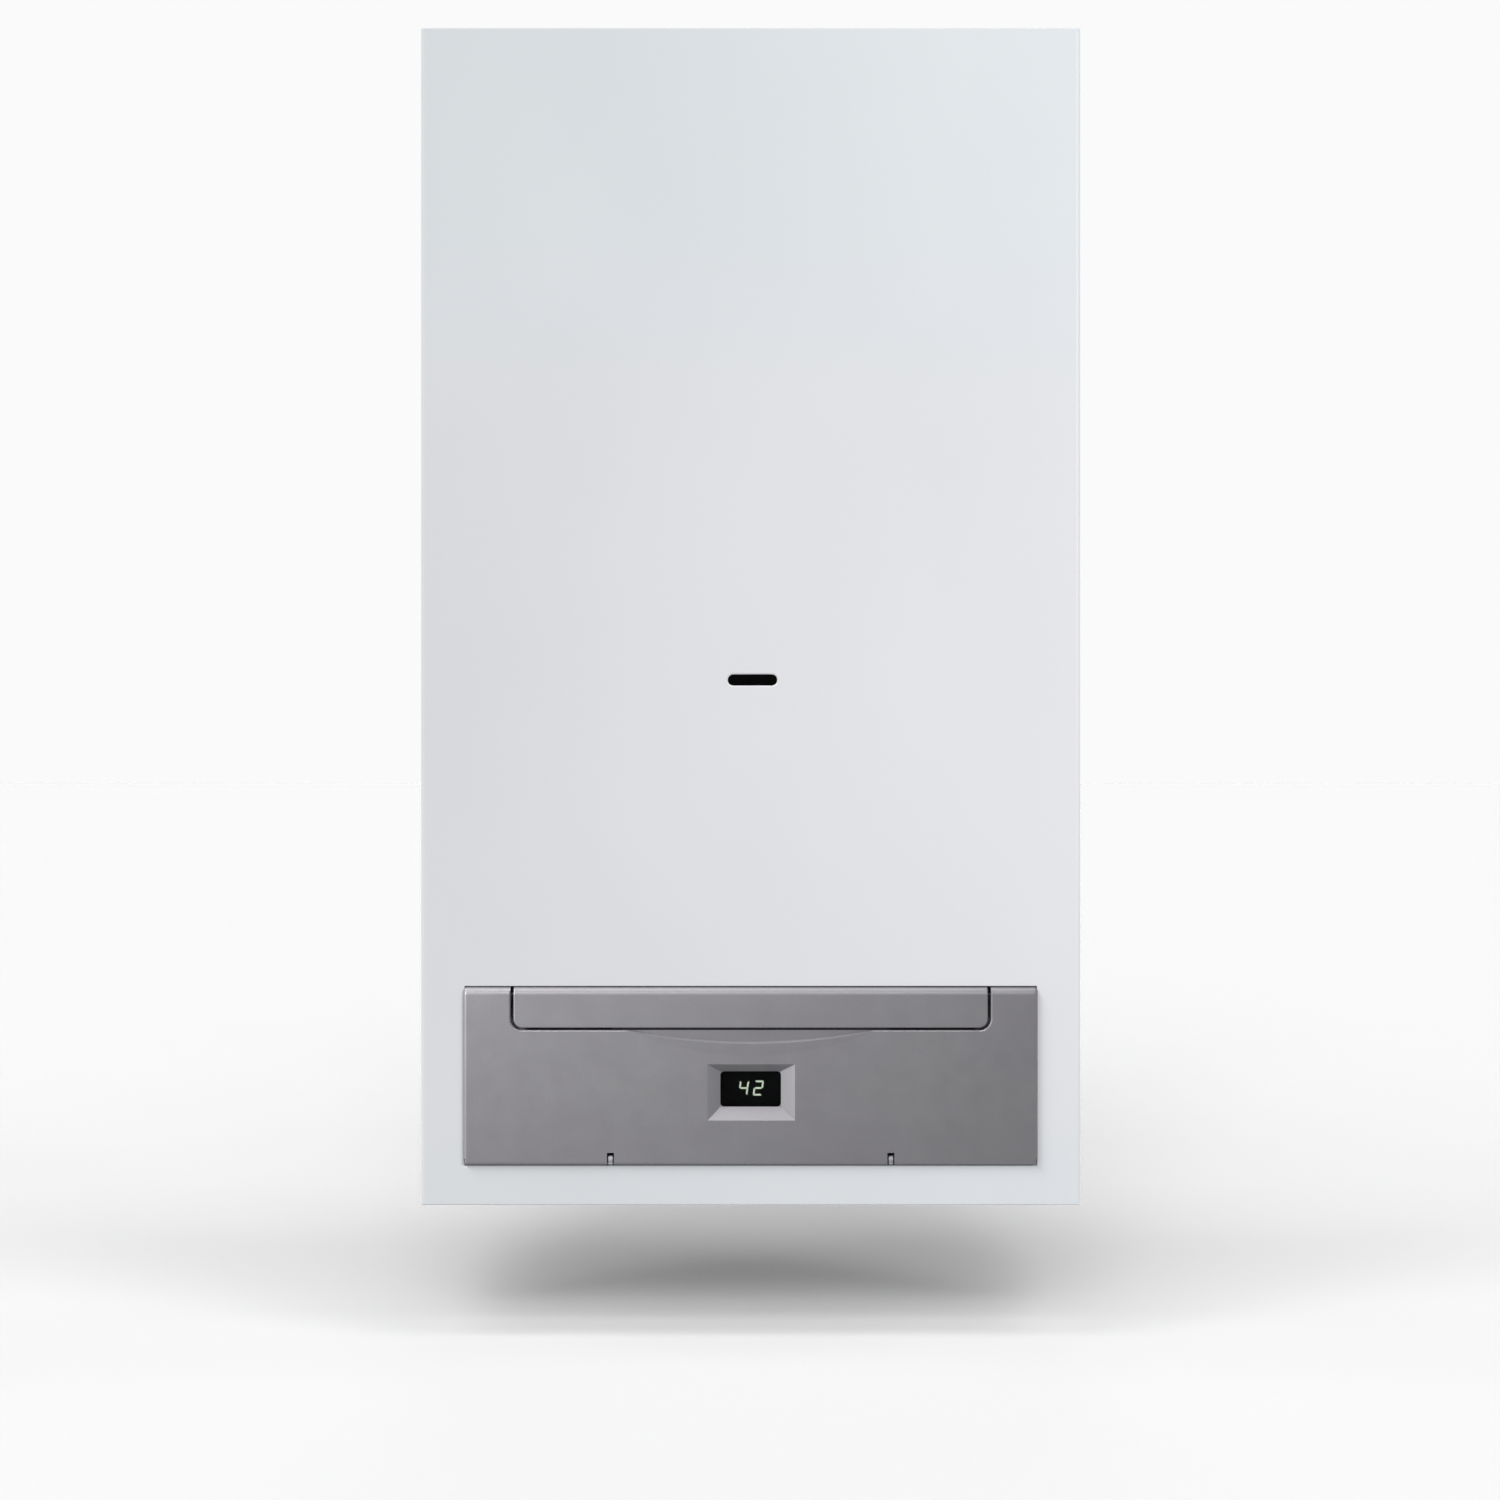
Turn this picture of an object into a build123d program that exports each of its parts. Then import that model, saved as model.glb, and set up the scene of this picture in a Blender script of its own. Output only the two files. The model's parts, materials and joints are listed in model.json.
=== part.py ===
from build123d import *
import math
import os

os.makedirs("parts", exist_ok=True)

# ---------------------------------------------------------------------------
# Driving dimensions, in millimetres.  Heights below are measured up from the
# casing's bottom edge and every piece is lowered by BOLT_Z when it is written,
# so that the origin is the middle of the two wall bolts, on the wall plane.
# +X is to the right, +Y into the wall, +Z up.
# ---------------------------------------------------------------------------
W = 400.0            # casing width
H = 714.0            # casing height
D = 300.0            # casing depth, wall to white front
T = 1.2              # casing sheet
BOLT_Z = 664.0       # wall bolts above the casing's bottom edge
BOLT_SPACING = 260.0
BOLT_R = 4.5
HW = W / 2

# control cut-out in the front cover and the door in it
CUT_X = 173.5
CUT_Z0, CUT_Z1 = 24.3, 132.8
DOOR_X = 174.0       # half the visible width: side lips lie over the cut-out's edges
DOOR_BODY_X = 173.15  # half the width of the part inside the cut-out
DOOR_LIP_Y = -300.35 # back of the side lips
DOOR_Z0, DOOR_Z1 = 24.6, 132.5
DOOR_TOP_R = 5.0     # rounding of the top edge, about the strip's hinge
DOOR_Y = -302.5      # door face, 2.5 proud of the casing
DOOR_SKIN = 2.8
DOOR_BACK = -294.0   # back edge of the door's rims
DOOR_AXIS_Y, DOOR_AXIS_Z = -299.9, 27.6
LUG_X, LUG_W, NOTCH_W, NOTCH_TOP = 85.0, 2.5, 4.2, 31.8

# pull strip in the top of the door
STRIP_X, STRIP_Z0 = 143.8, 107.6
POCKET_X, POCKET_Z0 = 145.7, 106.2
STRIP_AXIS_Y, STRIP_AXIS_Z = -297.6, 127.7
SCALLOP_X, SCALLOP_Z = 76.7, 98.1

# display recess and window
REC_X0, REC_X1, REC_Z0, REC_Z1 = -26.2, 26.9, 51.4, 85.5
WIN_X, WIN_Z0, WIN_Z1 = 18.4, 59.5, 81.0
WIN_Y = -296.5
DIGIT_H, DIGIT_W, DIGIT_Z = 9.1, 5.6, 66.1

# viewing slot
SLOT_X, SLOT_Z, SLOT_L, SLOT_W = 1.1, 318.5, 30.0, 6.8

FASCIA_Y = -288.0    # inner fascia behind the door

# connections on the underside
PIPE_Y = -110.0
PIPE_X = {"flow": -130.0, "hot": -65.0, "gas": 0.0, "cold": 65.0, "return": 130.0}
R34, R12 = 13.2, 10.5
PIPE_END = 6.0

# sealed chamber and flue
CH_X, CH_Y0, CH_Y1, CH_Z0, CH_Z1 = 186.0, -280.0, -98.0, 206.0, 676.0
FLUE_Y = -183.5
FLUE_R, AIR_R = 30.0, 50.0
FLUE_TOP = 711.5
TOP_Z = 684.0


# ---------------------------------------------------------------------------
# small building helpers
# ---------------------------------------------------------------------------
def blk(x0, x1, y0, y1, z0, z1):
    return Pos((x0 + x1) / 2, (y0 + y1) / 2, (z0 + z1) / 2) * Box(abs(x1 - x0), abs(y1 - y0), abs(z1 - z0))


def cx(x0, x1, y, z, r):
    return Pos((x0 + x1) / 2, y, z) * Rot(0, 90, 0) * Cylinder(r, abs(x1 - x0))


def cy(x, y0, y1, z, r):
    return Pos(x, (y0 + y1) / 2, z) * Rot(90, 0, 0) * Cylinder(r, abs(y1 - y0))


def cz(x, y, z0, z1, r):
    return Pos(x, y, (z0 + z1) / 2) * Cylinder(r, abs(z1 - z0))


def hex_z(x, y, z0, z1, across):
    sk = RegularPolygon(across / math.sqrt(3), 6)
    return Pos(x, y, z0) * extrude(sk, z1 - z0)


def pick(shape, test):
    """Edges of shape whose middle point passes the test."""
    return ShapeList([e for e in shape.edges() if test(e.center())])


def near(a, b, tol=0.05):
    return abs(a - b) < tol


def pipe(points, radius, bends):
    """Solid round bar along straight runs joined by tangent arcs."""
    path = FilletPolyline(*points, radius=bends) if len(points) > 2 else Polyline(*points)
    return sweep(Plane(origin=path @ 0, z_dir=path % 0) * Circle(radius), path=path)


def tube(points, radius, wall, bends):
    return pipe(points, radius, bends) - pipe(points, radius - wall, bends)


def face_xz(y, sketch, depth):
    """Sketch drawn in X-Z, placed at y and extruded towards +Y."""
    pl = Plane(origin=(0, y, 0), x_dir=(1, 0, 0), z_dir=(0, -1, 0))
    return extrude(pl * sketch, -depth)


def put(name, *shapes):
    solids = []
    for s in shapes:
        solids += list(s.solids())
    moved = [s.moved(Location((0, 0, -BOLT_Z))) for s in solids]
    out = moved[0] if len(moved) == 1 else Compound(children=moved)
    export_step(out, "parts/" + name + ".step")


# ---------------------------------------------------------------------------
# casing
# ---------------------------------------------------------------------------
def front_cover():
    y1 = -D + 22.0
    outer = blk(-HW, HW, -D, y1, 0, H)
    outer = fillet(pick(outer, lambda c: near(abs(c.X), HW) and near(c.Y, -D)), 2.6)
    outer = fillet(pick(outer, lambda c: near(c.Y, -D) and (near(c.Z, 0) or near(c.Z, H))), 0.8)
    inner = blk(-HW + T, HW - T, -D + T, y1 + 5, T, H - T)
    inner = fillet(pick(inner, lambda c: near(abs(c.X), HW - T) and near(c.Y, -D + T)), 1.4)
    cover = outer - inner
    # return flange round the control cut-out
    cover += blk(-CUT_X - T, CUT_X + T, -D + 0.5, -291.0, CUT_Z0 - T, CUT_Z1 + T)
    cover -= blk(-CUT_X, CUT_X, -D - 1, -290, CUT_Z0, CUT_Z1)
    cover = fillet(pick(cover, lambda c: near(c.Y, -D) and near(c.X, 0, 5) and near(c.Z, CUT_Z0, 0.1)), 2.0)
    cover = fillet(pick(cover, lambda c: near(c.Y, -D) and near(abs(c.X), CUT_X, 0.1) and 30 < c.Z < 130), 0.8)
    cover = fillet(pick(cover, lambda c: near(c.Y, -D) and near(c.X, 0, 5) and near(c.Z, CUT_Z1, 0.1)), 0.4)
    # viewing slot with its turned-in rim
    cover += face_xz(-D + 0.4, Pos(SLOT_X, SLOT_Z) * SlotOverall(SLOT_L + 3.2, SLOT_W + 3.2), 4.8)
    cover -= face_xz(-D - 1, Pos(SLOT_X, SLOT_Z) * SlotOverall(SLOT_L, SLOT_W), 8)
    cover = fillet(pick(cover, lambda c: near(c.Y, -D) and abs(c.X) < 20 and abs(c.Z - SLOT_Z) < 6), 1.1)
    # hanging tabs behind the top edge
    for sx in (-1, 1):
        x0, x1 = sorted((sx * 100, sx * 130))
        cover += blk(x0, x1, -279, -272.4, H - 2 * T + 0.01, H - T)
        cover += blk(x0, x1, -273.6, -272.4, 692, H - T)
    # holes for the two fixing screws in the bottom edge
    for sx in (-1, 1):
        cover -= cz(sx * 150, -287, -1, 3, 3.8)
    put("front_cover", cover)


def side_panel(sx, name):
    def b(xa, xb, *r):
        a, c = sorted((sx * xa, sx * xb))
        return blk(a, c, *r)
    p = b(HW - T, HW, -D + 22.5, 0, 0, H)
    p += b(HW - 11, HW - T, -D + 22.5, 0, H - T, H)          # top return
    p += b(HW - 13, HW - T, -D + 22.5, -14.5, 0, T)          # bottom return
    p += b(HW - 2.7, HW - 1.4, -290, -262, 6, 680)           # joggle behind the front edge
    p += b(HW - 1.4, HW - T, -277.5, -262, 6, 680)
    for z in (60, 350, 640):
        p -= cx(sx * (HW + 1), sx * (HW - 3), -7, z, 3.8)
    put(name, p)


def top_panel():
    p = blk(-HW + T, HW - T, -276, -14, TOP_Z, TOP_Z + T)
    p += blk(-HW + T, HW - T, -276, -274.8, TOP_Z, 700)       # front lip the cover hangs on
    p += blk(-HW + T, HW - T, -15.2, -14, TOP_Z, 697)         # rear lip on the back frame
    for sx in (-1, 1):
        x0, x1 = sorted((sx * (HW - 2 * T), sx * (HW - T)))
        p += blk(x0, x1, -270, -20, TOP_Z, 698)
    p -= cz(0, FLUE_Y, TOP_Z - 1, TOP_Z + 3, AIR_R - 1.0)
    for sx in (-1, 1):
        for sy in (-1, 1):
            p -= cz(sx * 62, FLUE_Y + sy * 62, TOP_Z - 1, TOP_Z + 3, 2.1)
    put("top_panel", p)


def back_frame():
    x = HW - T
    p = blk(-x, x, -14, -12.5, 4, 700)
    for sx in (-1, 1):
        a, c = sorted((sx * x, sx * (x - 1.5)))
        p += blk(a, c, -12.5, 0, 4, 700)
        a, c = sorted((sx * 184.5, sx * 186))
        p += blk(a, c, CH_Y1, -14, 60, 676)                   # posts that carry the chamber
        for z in (120, 260, 400, 540):
            p -= Pos(sx * 185, -56, z) * Box(6, 40, 60)
    p += blk(-x, x, -12.5, 0, 698.5, 700)
    p += blk(-x, x, -12.5, 0, 4, 5.5)
    for sx in (-1, 1):                                         # hook slots and upper window
        p -= Pos(sx * 120, -13, 674.75) * Box(50, 6, 6.5)
        for z in (60, 350, 640):
            p -= cx(sx * (HW), sx * (HW - 4), -7, z, 2.0)
    # two long pressed ribs
    for sx in (-1, 1):
        p += blk(sx * 60 - 12, sx * 60 + 12, -15.5, -14, 90, 640)
        p -= blk(sx * 60 - 10.5, sx * 60 + 10.5, -14.0, -12, 91.5, 638.5)
    put("back_frame", p)


def hanging_bracket():
    p = blk(-165, 165, -2, 0, 648, 690)
    for sx in (-1, 1):
        a, c = sorted((sx * 97, sx * 143))
        p += blk(a, c, -17.5, -2, 676, 678)
        p += blk(a, c, -17.5, -15.8, 676, 682.5)
        p -= cy(sx * BOLT_SPACING / 2, -3, 1, BOLT_Z, BOLT_R)
    p -= blk(-70, 70, -3, 1, 658, 670)                        # open slot in the middle of the rail
    p = fillet(pick(p, lambda c: near(abs(c.X), 165) and near(c.Y, -1)), 4)
    put("hanging_bracket", p)


def pipe_tray():
    x = 184.0
    p = blk(-x, x, -206, -14, 33.5, 35)
    p += blk(-x, x, -206, -204.5, 35, 52)
    p += blk(-x, x, -15.5, -14, 35, 52)
    for sx in (-1, 1):
        a, c = sorted((sx * x, sx * (x - 1.5)))
        p += blk(a, c, -204.5, -15.5, 35, 60)
    for k, r in (("flow", 17), ("return", 17), ("gas", 17), ("hot", 14), ("cold", 14)):
        p -= cz(PIPE_X[k], PIPE_Y, 30, 40, r)
    p -= cz(98, PIPE_Y, 30, 40, 9)                            # filling tap spindle
    p -= cz(166, -132, 30, 40, 10)                            # safety valve outlet
    for x0 in (-150, -90, -30, 30, 90, 150):                  # slots along the back
        p -= Pos(x0, -28, 34) * Box(34, 8, 4)
    for sx in (-1, 1):                                         # posts under the plate heat exchanger
        p += blk(sx * 50 - 8, sx * 50 + 8, -62, -48, 34, 58)
    put("pipe_tray", p)


def screws():
    out = []
    for sx in (-1, 1):
        out.append(cz(sx * 150, -287, 0.05, T, 3.6) + cz(sx * 150, -287, T, 15, 1.9))
        for z in (60, 350, 640):
            out.append(cx(sx * (HW - 0.05), sx * (HW - T), -7, z, 3.6) + cx(sx * (HW - T), sx * (HW - 9), -7, z, 1.9))
    # pan heads on the chamber cover
    for sx in (-1, 1):
        for z in (215, 330, 445, 560, 667):
            out.append(cy(sx * 193.3, -286.6, -284.2, z, 3.4) + cy(sx * 193.3, -284.2, -276.0, z, 1.9))
    # flue collar on the top panel
    for sx in (-1, 1):
        for sy in (-1, 1):
            out.append(cz(sx * 62, FLUE_Y + sy * 62, TOP_Z + T + 2.5, TOP_Z + T + 5, 3.8) + cz(sx * 62, FLUE_Y + sy * 62, TOP_Z - 4, TOP_Z + T + 2.5, 1.9))
    put("screws", *out)


# ---------------------------------------------------------------------------
# control door, pull strip and what is behind them
# ---------------------------------------------------------------------------
KNOBS = {"heating_knob": -128.0, "hot_water_knob": -76.0, "mode_knob": 82.0}
KNOB_Z, KNOB_R = 76.0, 17.0
RESET_X, RESET_Z = 47.0, 62.0
GAUGE_X, GAUGE_Z = 136.0, 76.0
SHAFT_GAP = 0.05


def control_door():
    shell = blk(-DOOR_X, DOOR_X, DOOR_Y, DOOR_BACK, DOOR_Z0, DOOR_Z1)
    shell = fillet(pick(shell, lambda c: near(c.Y, DOOR_Y) and near(c.Z, DOOR_Z1)), DOOR_TOP_R)
    shell = fillet(pick(shell, lambda c: near(c.Y, DOOR_Y) and (near(abs(c.X), DOOR_X) or near(c.Z, DOOR_Z0))), 1.8)
    d = shell - blk(-DOOR_BODY_X + 2.4, DOOR_BODY_X - 2.4, DOOR_Y + DOOR_SKIN, DOOR_BACK + 2, DOOR_Z0 + 2.5, DOOR_Z1 - 2.5)
    # walls and floor of the strip pocket, lump behind the finger scallop
    d += shell & blk(-POCKET_X - 2.5, POCKET_X + 2.5, DOOR_Y + 1, DOOR_BACK, 103.5, DOOR_Z1)
    d += blk(-82, 82, DOOR_Y + 1, DOOR_BACK, 94.5, 104)
    # knuckles at the lugs, bosses for the strip's pins, stiffening ribs
    for sx in (-1, 1):
        d += cx(sx * LUG_X - 9, sx * LUG_X + 9, DOOR_AXIS_Y, DOOR_AXIS_Z, 2.6)
        a, c = sorted((sx * (POCKET_X + 1), sx * (POCKET_X + 6.3)))
        d += cx(a, c, STRIP_AXIS_Y, STRIP_AXIS_Z, 3.0)
    for x in (-150, -102, -52, 52, 102, 150):
        d += blk(x - 0.6, x + 0.6, DOOR_Y + 2, -298.0, DOOR_Z0 + 2, 104)
    # side lips in front of the casing, ending above the hinge line; rebate at the top of the back
    for sx in (-1, 1):
        a, c = sorted((sx * DOOR_BODY_X, sx * (DOOR_X + 1)))
        d -= blk(a, c, DOOR_LIP_Y, DOOR_BACK + 1, 20, 140)
        d -= blk(a, c, DOOR_Y - 1, DOOR_BACK + 1, 20, DOOR_AXIS_Z + 0.6)
    d -= blk(-200, 200, -295.2, DOOR_BACK + 1, DOOR_Z1 - 0.9, 140)
    # housing of the display recess
    d += blk(REC_X0 - 2.5, REC_X1 + 2.5, DOOR_Y + 1, DOOR_BACK, REC_Z0 - 2.5, REC_Z1 + 2.5)
    xm, zm = (REC_X0 + REC_X1) / 2, (REC_Z0 + REC_Z1) / 2
    zw = (WIN_Z0 + WIN_Z1) / 2
    pl0 = Plane(origin=(xm, DOOR_Y - 0.01, zm), x_dir=(1, 0, 0), z_dir=(0, -1, 0))
    pl1 = Plane(origin=(0, WIN_Y - 0.7, zw), x_dir=(1, 0, 0), z_dir=(0, -1, 0))
    d -= loft([pl0 * Rectangle(REC_X1 - REC_X0, REC_Z1 - REC_Z0), pl1 * Rectangle(2 * WIN_X, WIN_Z1 - WIN_Z0)])
    d -= face_xz(WIN_Y - 0.8, Pos(0, zw) * RectangleRounded(2 * WIN_X - 0.02, WIN_Z1 - WIN_Z0 - 0.02, 2.4), 1.0)
    d -= blk(-20.9, 20.9, WIN_Y, DOOR_BACK + 2, 57.0, 83.5)
    # the surface swells a little towards the scallop's rim
    sag = POCKET_Z0 - SCALLOP_Z
    rad = (SCALLOP_X ** 2 + sag ** 2) / (2 * sag)
    low = 15.5
    rad2 = (SCALLOP_X ** 2 + low ** 2) / (2 * low)
    rise = 0.44 / (low - sag)
    swell = Pos(0, DOOR_Y - 0.25, POCKET_Z0 - low + rad2) * Rot(90, 0, 0) * Cone(rad2 + 0.2 / rise, rad2 - 0.7 / rise, 0.9)
    d += swell & blk(-SCALLOP_X, SCALLOP_X, DOOR_Y - 1, DOOR_Y + 1, 85, POCKET_Z0 + 0.5)
    # pocket for the pull strip, open at the top and behind its hinge, with a bevelled edge
    pocket = blk(-POCKET_X, POCKET_X, DOOR_Y - 1, -296.0, POCKET_Z0, 140)
    pocket = fillet(pick(pocket, lambda c: near(c.Z, POCKET_Z0) and near(abs(c.X), POCKET_X)), 6.7)
    d -= pocket
    e = 0.85
    ea = Plane(origin=(0, DOOR_Y - 0.01, POCKET_Z0 + 25 - e / 2), x_dir=(1, 0, 0), z_dir=(0, -1, 0))
    eb = Plane(origin=(0, DOOR_Y + e, POCKET_Z0 + 25), x_dir=(1, 0, 0), z_dir=(0, -1, 0))
    d -= loft([ea * RectangleRounded(2 * (POCKET_X + e), 50 + e, 6.7 + e), eb * RectangleRounded(2 * POCKET_X, 50, 6.7)])
    d -= blk(-POCKET_X, POCKET_X, -297, DOOR_BACK + 2, 122, 140)
    for sx in (-1, 1):
        a, c = sorted((sx * (POCKET_X - 3.4), sx * POCKET_X))
        d -= blk(a, c, -297, DOOR_BACK + 2, 113.5, 123)
        a, c = sorted((sx * 84, sx * 136))
        d -= blk(a, c, -297, DOOR_BACK + 2, POCKET_Z0, POCKET_Z0 + 2.0)
    # finger scallop: a bevelled rim round a flat sunk floor that runs up to the strip
    zc = SCALLOP_Z + rad
    box = blk(-100, 100, DOOR_Y - 1.5, -296.0, 90, POCKET_Z0 + 1)
    d -= (Pos(0, -302.2, zc) * Rot(90, 0, 0) * Cone(rad - 1.1, rad + 0.786, 3.6)) & box
    # lug notches and pin holes
    for sx in (-1, 1):
        d -= blk(sx * LUG_X - NOTCH_W / 2, sx * LUG_X + NOTCH_W / 2, DOOR_Y - 1, DOOR_BACK + 2, 20, NOTCH_TOP)
        d -= cx(sx * LUG_X - 7.5, sx * LUG_X + 7.5, DOOR_AXIS_Y, DOOR_AXIS_Z, 1.21)
        a, c = sorted((sx * (POCKET_X - 1), sx * (POCKET_X + 5.4)))
        d -= cx(a, c, STRIP_AXIS_Y, STRIP_AXIS_Z, 1.21)
    put("control_door", d)


def door_handle():
    h = blk(-STRIP_X, STRIP_X, DOOR_Y, -295.5, STRIP_Z0, DOOR_Z1)
    h = fillet(pick(h, lambda c: near(c.Z, STRIP_Z0) and near(abs(c.X), STRIP_X)), 5.5)
    h = fillet(pick(h, lambda c: near(c.Y, DOOR_Y) and near(c.Z, DOOR_Z1)), DOOR_TOP_R)
    h = fillet(pick(h, lambda c: near(c.Y, DOOR_Y) and near(c.Z, STRIP_Z0)), 0.8)
    h -= blk(-STRIP_X + 2.5, STRIP_X - 2.5, DOOR_Y + DOOR_SKIN, -290, STRIP_Z0 + 1.9, DOOR_Z1 - 2.5)
    h -= blk(-150, 150, -298.6, -290, 100, 116)
    h -= blk(-150, 150, -296.5, -290, 100, 124)
    h += blk(-8, 8, -300, -290, 127.8, 129.3)                  # latch arm
    h += blk(-8, 8, -291.5, -290, 129.2, 130.0)
    for sx in (-1, 1):
        a, c = sorted((sx * (STRIP_X - 4), sx * (STRIP_X + 1)))
        h -= cx(a, c, STRIP_AXIS_Y, STRIP_AXIS_Z, 1.2 + SHAFT_GAP)
    for x in (-100, -50, 50, 100):
        h += blk(x - 0.6, x + 0.6, DOOR_Y + 2, -298.6, STRIP_Z0 + 1.8, DOOR_Z1 - 2)
    put("door_handle", h)


def hinge_pins():
    pins = []
    for sx in (-1, 1):
        pins.append(cx(sx * LUG_X - 7.2, sx * LUG_X + 7.2, DOOR_AXIS_Y, DOOR_AXIS_Z, 1.2))
    pins.append(cx(128.0, POCKET_X + 5.2, STRIP_AXIS_Y, STRIP_AXIS_Z, 1.2))
    pins.append(cx(-POCKET_X - 5.2, -138.0, STRIP_AXIS_Y, STRIP_AXIS_Z, 1.2))
    put("hinge_pins", *pins)


def handle_spring():
    rm, rw, pitch, turns = 1.65, 0.25, 1.2, 7
    hx = Helix(pitch, pitch * turns, rm)
    start = hx @ 0
    coil = sweep(Plane(origin=start, z_dir=hx % 0) * Circle(rw), path=hx)
    x0, x1 = 130.5, 130.5 + pitch * turns
    coil = Pos(x0, STRIP_AXIS_Y, STRIP_AXIS_Z) * Rot(0, 90, 0) * coil
    # a straight leg runs down from each end of the coil
    out = coil
    for x, low in ((x0, 118.0), (x1, 122.6)):
        end = (x, STRIP_AXIS_Y, STRIP_AXIS_Z - rm)
        out += Pos(*end) * Sphere(rw + 0.03) + cz(end[0], end[1], low, end[2], rw - 0.02)
    put("handle_spring", out)


def display_window():
    w = blk(-20.7, 20.7, WIN_Y, WIN_Y + 1.5, 57.2, 83.3)
    put("display_window", w)


SEG = {"4": "fgbc", "2": "abged"}


def digit(ch, x0):
    """Seven-segment figure leaning to the right, in X-Z, drawn with its foot at z 0."""
    h, w, t, g = DIGIT_H, DIGIT_W, 0.98, 0.12
    m = h / 2
    poly = {
        "a": [(g + 0.2, h), (w - g - 0.2, h), (w - t - g, h - t), (t + g, h - t)],
        "d": [(g + 0.2, 0), (t + g, t), (w - t - g, t), (w - g - 0.2, 0)],
        "g": [(t * 0.5 + g, m), (t + g, m + t / 2), (w - t - g, m + t / 2), (w - t * 0.5 - g, m), (w - t - g, m - t / 2), (t + g, m - t / 2)],
        "f": [(0, h - g - 0.2), (t, h - t - g), (t, m + t / 2 + g), (0.3, m + g), (0, m + g)],
        "e": [(0, g + 0.2), (0, m - g), (0.3, m - g), (t, m - t / 2 - g), (t, t + g)],
        "b": [(w, h - g - 0.2), (w, m + g), (w - 0.3, m + g), (w - t, m + t / 2 + g), (w - t, h - t - g)],
        "c": [(w, g + 0.2), (w - t, t + g), (w - t, m - t / 2 - g), (w - 0.3, m - g), (w, m - g)],
    }
    lean = math.tan(math.radians(8))
    out = []
    for s in SEG[ch]:
        pts = [(x0 + px + lean * pz, DIGIT_Z + pz) for px, pz in poly[s]]
        area = sum(pts[i][0] * pts[(i + 1) % len(pts)][1] - pts[(i + 1) % len(pts)][0] * pts[i][1] for i in range(len(pts)))
        if area < 0:
            pts = pts[::-1]
        wire = Polyline(*[(px, -293.5, pz) for px, pz in pts], close=True)
        out.append(extrude(make_face(wire), amount=0.4, dir=(0, -1, 0)))
    return out


def display_parts():
    body = blk(-24, 24, -293.5, -278, 55, 83)
    body = fillet(body.edges().filter_by(Axis.Y), 1.0)
    body += blk(-22, 22, -279, -272, 57, 81)
    put("display_module", body)
    put("display_digits", *digit("4", -7.7), *digit("2", 1.2))


def control_fascia():
    f = blk(-171.5, 171.5, FASCIA_Y, FASCIA_Y + 2.5, 26, 131)
    f = fillet(f.edges().filter_by(Axis.Y), 3.0)
    skirt = blk(-171.5, 171.5, FASCIA_Y + 2.5, -270, 26, 131)
    skirt = fillet(skirt.edges().filter_by(Axis.Y), 3.0)
    f += skirt - blk(-169.5, 169.5, -290, -260, 28, 129)
    f += blk(-12, 12, -293, FASCIA_Y + 1, 131 - 0.01, 132.2) + blk(-12, 12, FASCIA_Y, FASCIA_Y + 2.5, 129, 132.2)   # latch keeper
    for sx in (-1, 1):
        lug = blk(sx * LUG_X - LUG_W / 2, sx * LUG_X + LUG_W / 2, DOOR_AXIS_Y, FASCIA_Y + 0.5, DOOR_AXIS_Z - 1.5, DOOR_AXIS_Z + 2.4)
        lug += blk(sx * LUG_X - LUG_W / 2, sx * LUG_X + LUG_W / 2, DOOR_AXIS_Y - 1.8, FASCIA_Y + 0.5, 24.75, DOOR_AXIS_Z)
        lug += cx(sx * LUG_X - LUG_W / 2, sx * LUG_X + LUG_W / 2, DOOR_AXIS_Y, DOOR_AXIS_Z, 2.5)
        lug -= cx(sx * LUG_X - 5, sx * LUG_X + 5, DOOR_AXIS_Y, DOOR_AXIS_Z, 1.2 + SHAFT_GAP)
        lug += blk(sx * LUG_X - 9, sx * LUG_X + 9, FASCIA_Y - 1.0, FASCIA_Y + 0.5, 24.75, 27.0)
        f += lug
    for x in KNOBS.values():
        ring = cy(x, FASCIA_Y - 0.6, FASCIA_Y + 0.2, KNOB_Z, KNOB_R + 3.4) - cy(x, FASCIA_Y - 2, FASCIA_Y + 0.5, KNOB_Z, KNOB_R + 2.2)
        f += ring
        f -= cy(x, FASCIA_Y - 2, FASCIA_Y + 5, KNOB_Z, 3.0 + SHAFT_GAP)
    f -= cy(RESET_X, FASCIA_Y - 2, FASCIA_Y + 5, RESET_Z, 5.0 + SHAFT_GAP)
    f -= cy(GAUGE_X, FASCIA_Y - 2, FASCIA_Y + 5, GAUGE_Z, 21.2)
    f -= blk(-24.3, 24.3, FASCIA_Y - 1, FASCIA_Y + 5, 54.7, 83.3)
    for px in (-145, -100, 30, 103):
        for pz in (40, 118):
            f += cy(px, FASCIA_Y + 2, -272, pz, 3.0)
    put("control_fascia", f)


def control_box():
    b = blk(-168.5, 168.5, -285.5, -216, 29, 128)
    b = fillet(b.edges().filter_by(Axis.Y), 4.0)
    b -= blk(-166, 166, -290, -218.5, 31.5, 125.5)
    for sx in (-1, 1):                                         # tilt ears on the side panels
        a, c = sorted((sx * 167.5, sx * 198.6))
        b += blk(a, c, -236, -233, 62, 98)
        a, c = sorted((sx * 196.6, sx * 198.6))
        b += blk(a, c, -250, -233, 62, 98)
    b -= cz(-140, -245, 20, 40, 8.2)                           # cable gland hole
    for i in range(9):                                         # vents in the roof
        b -= Pos(-120 + i * 30, -250, 127) * Box(20, 4, 8)
    for x in (-60, 0, 60, 120):                                # harness openings in the rear wall
        b -= Pos(x, -217, 110) * Box(18, 8, 9)
    put("control_box", b)


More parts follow.
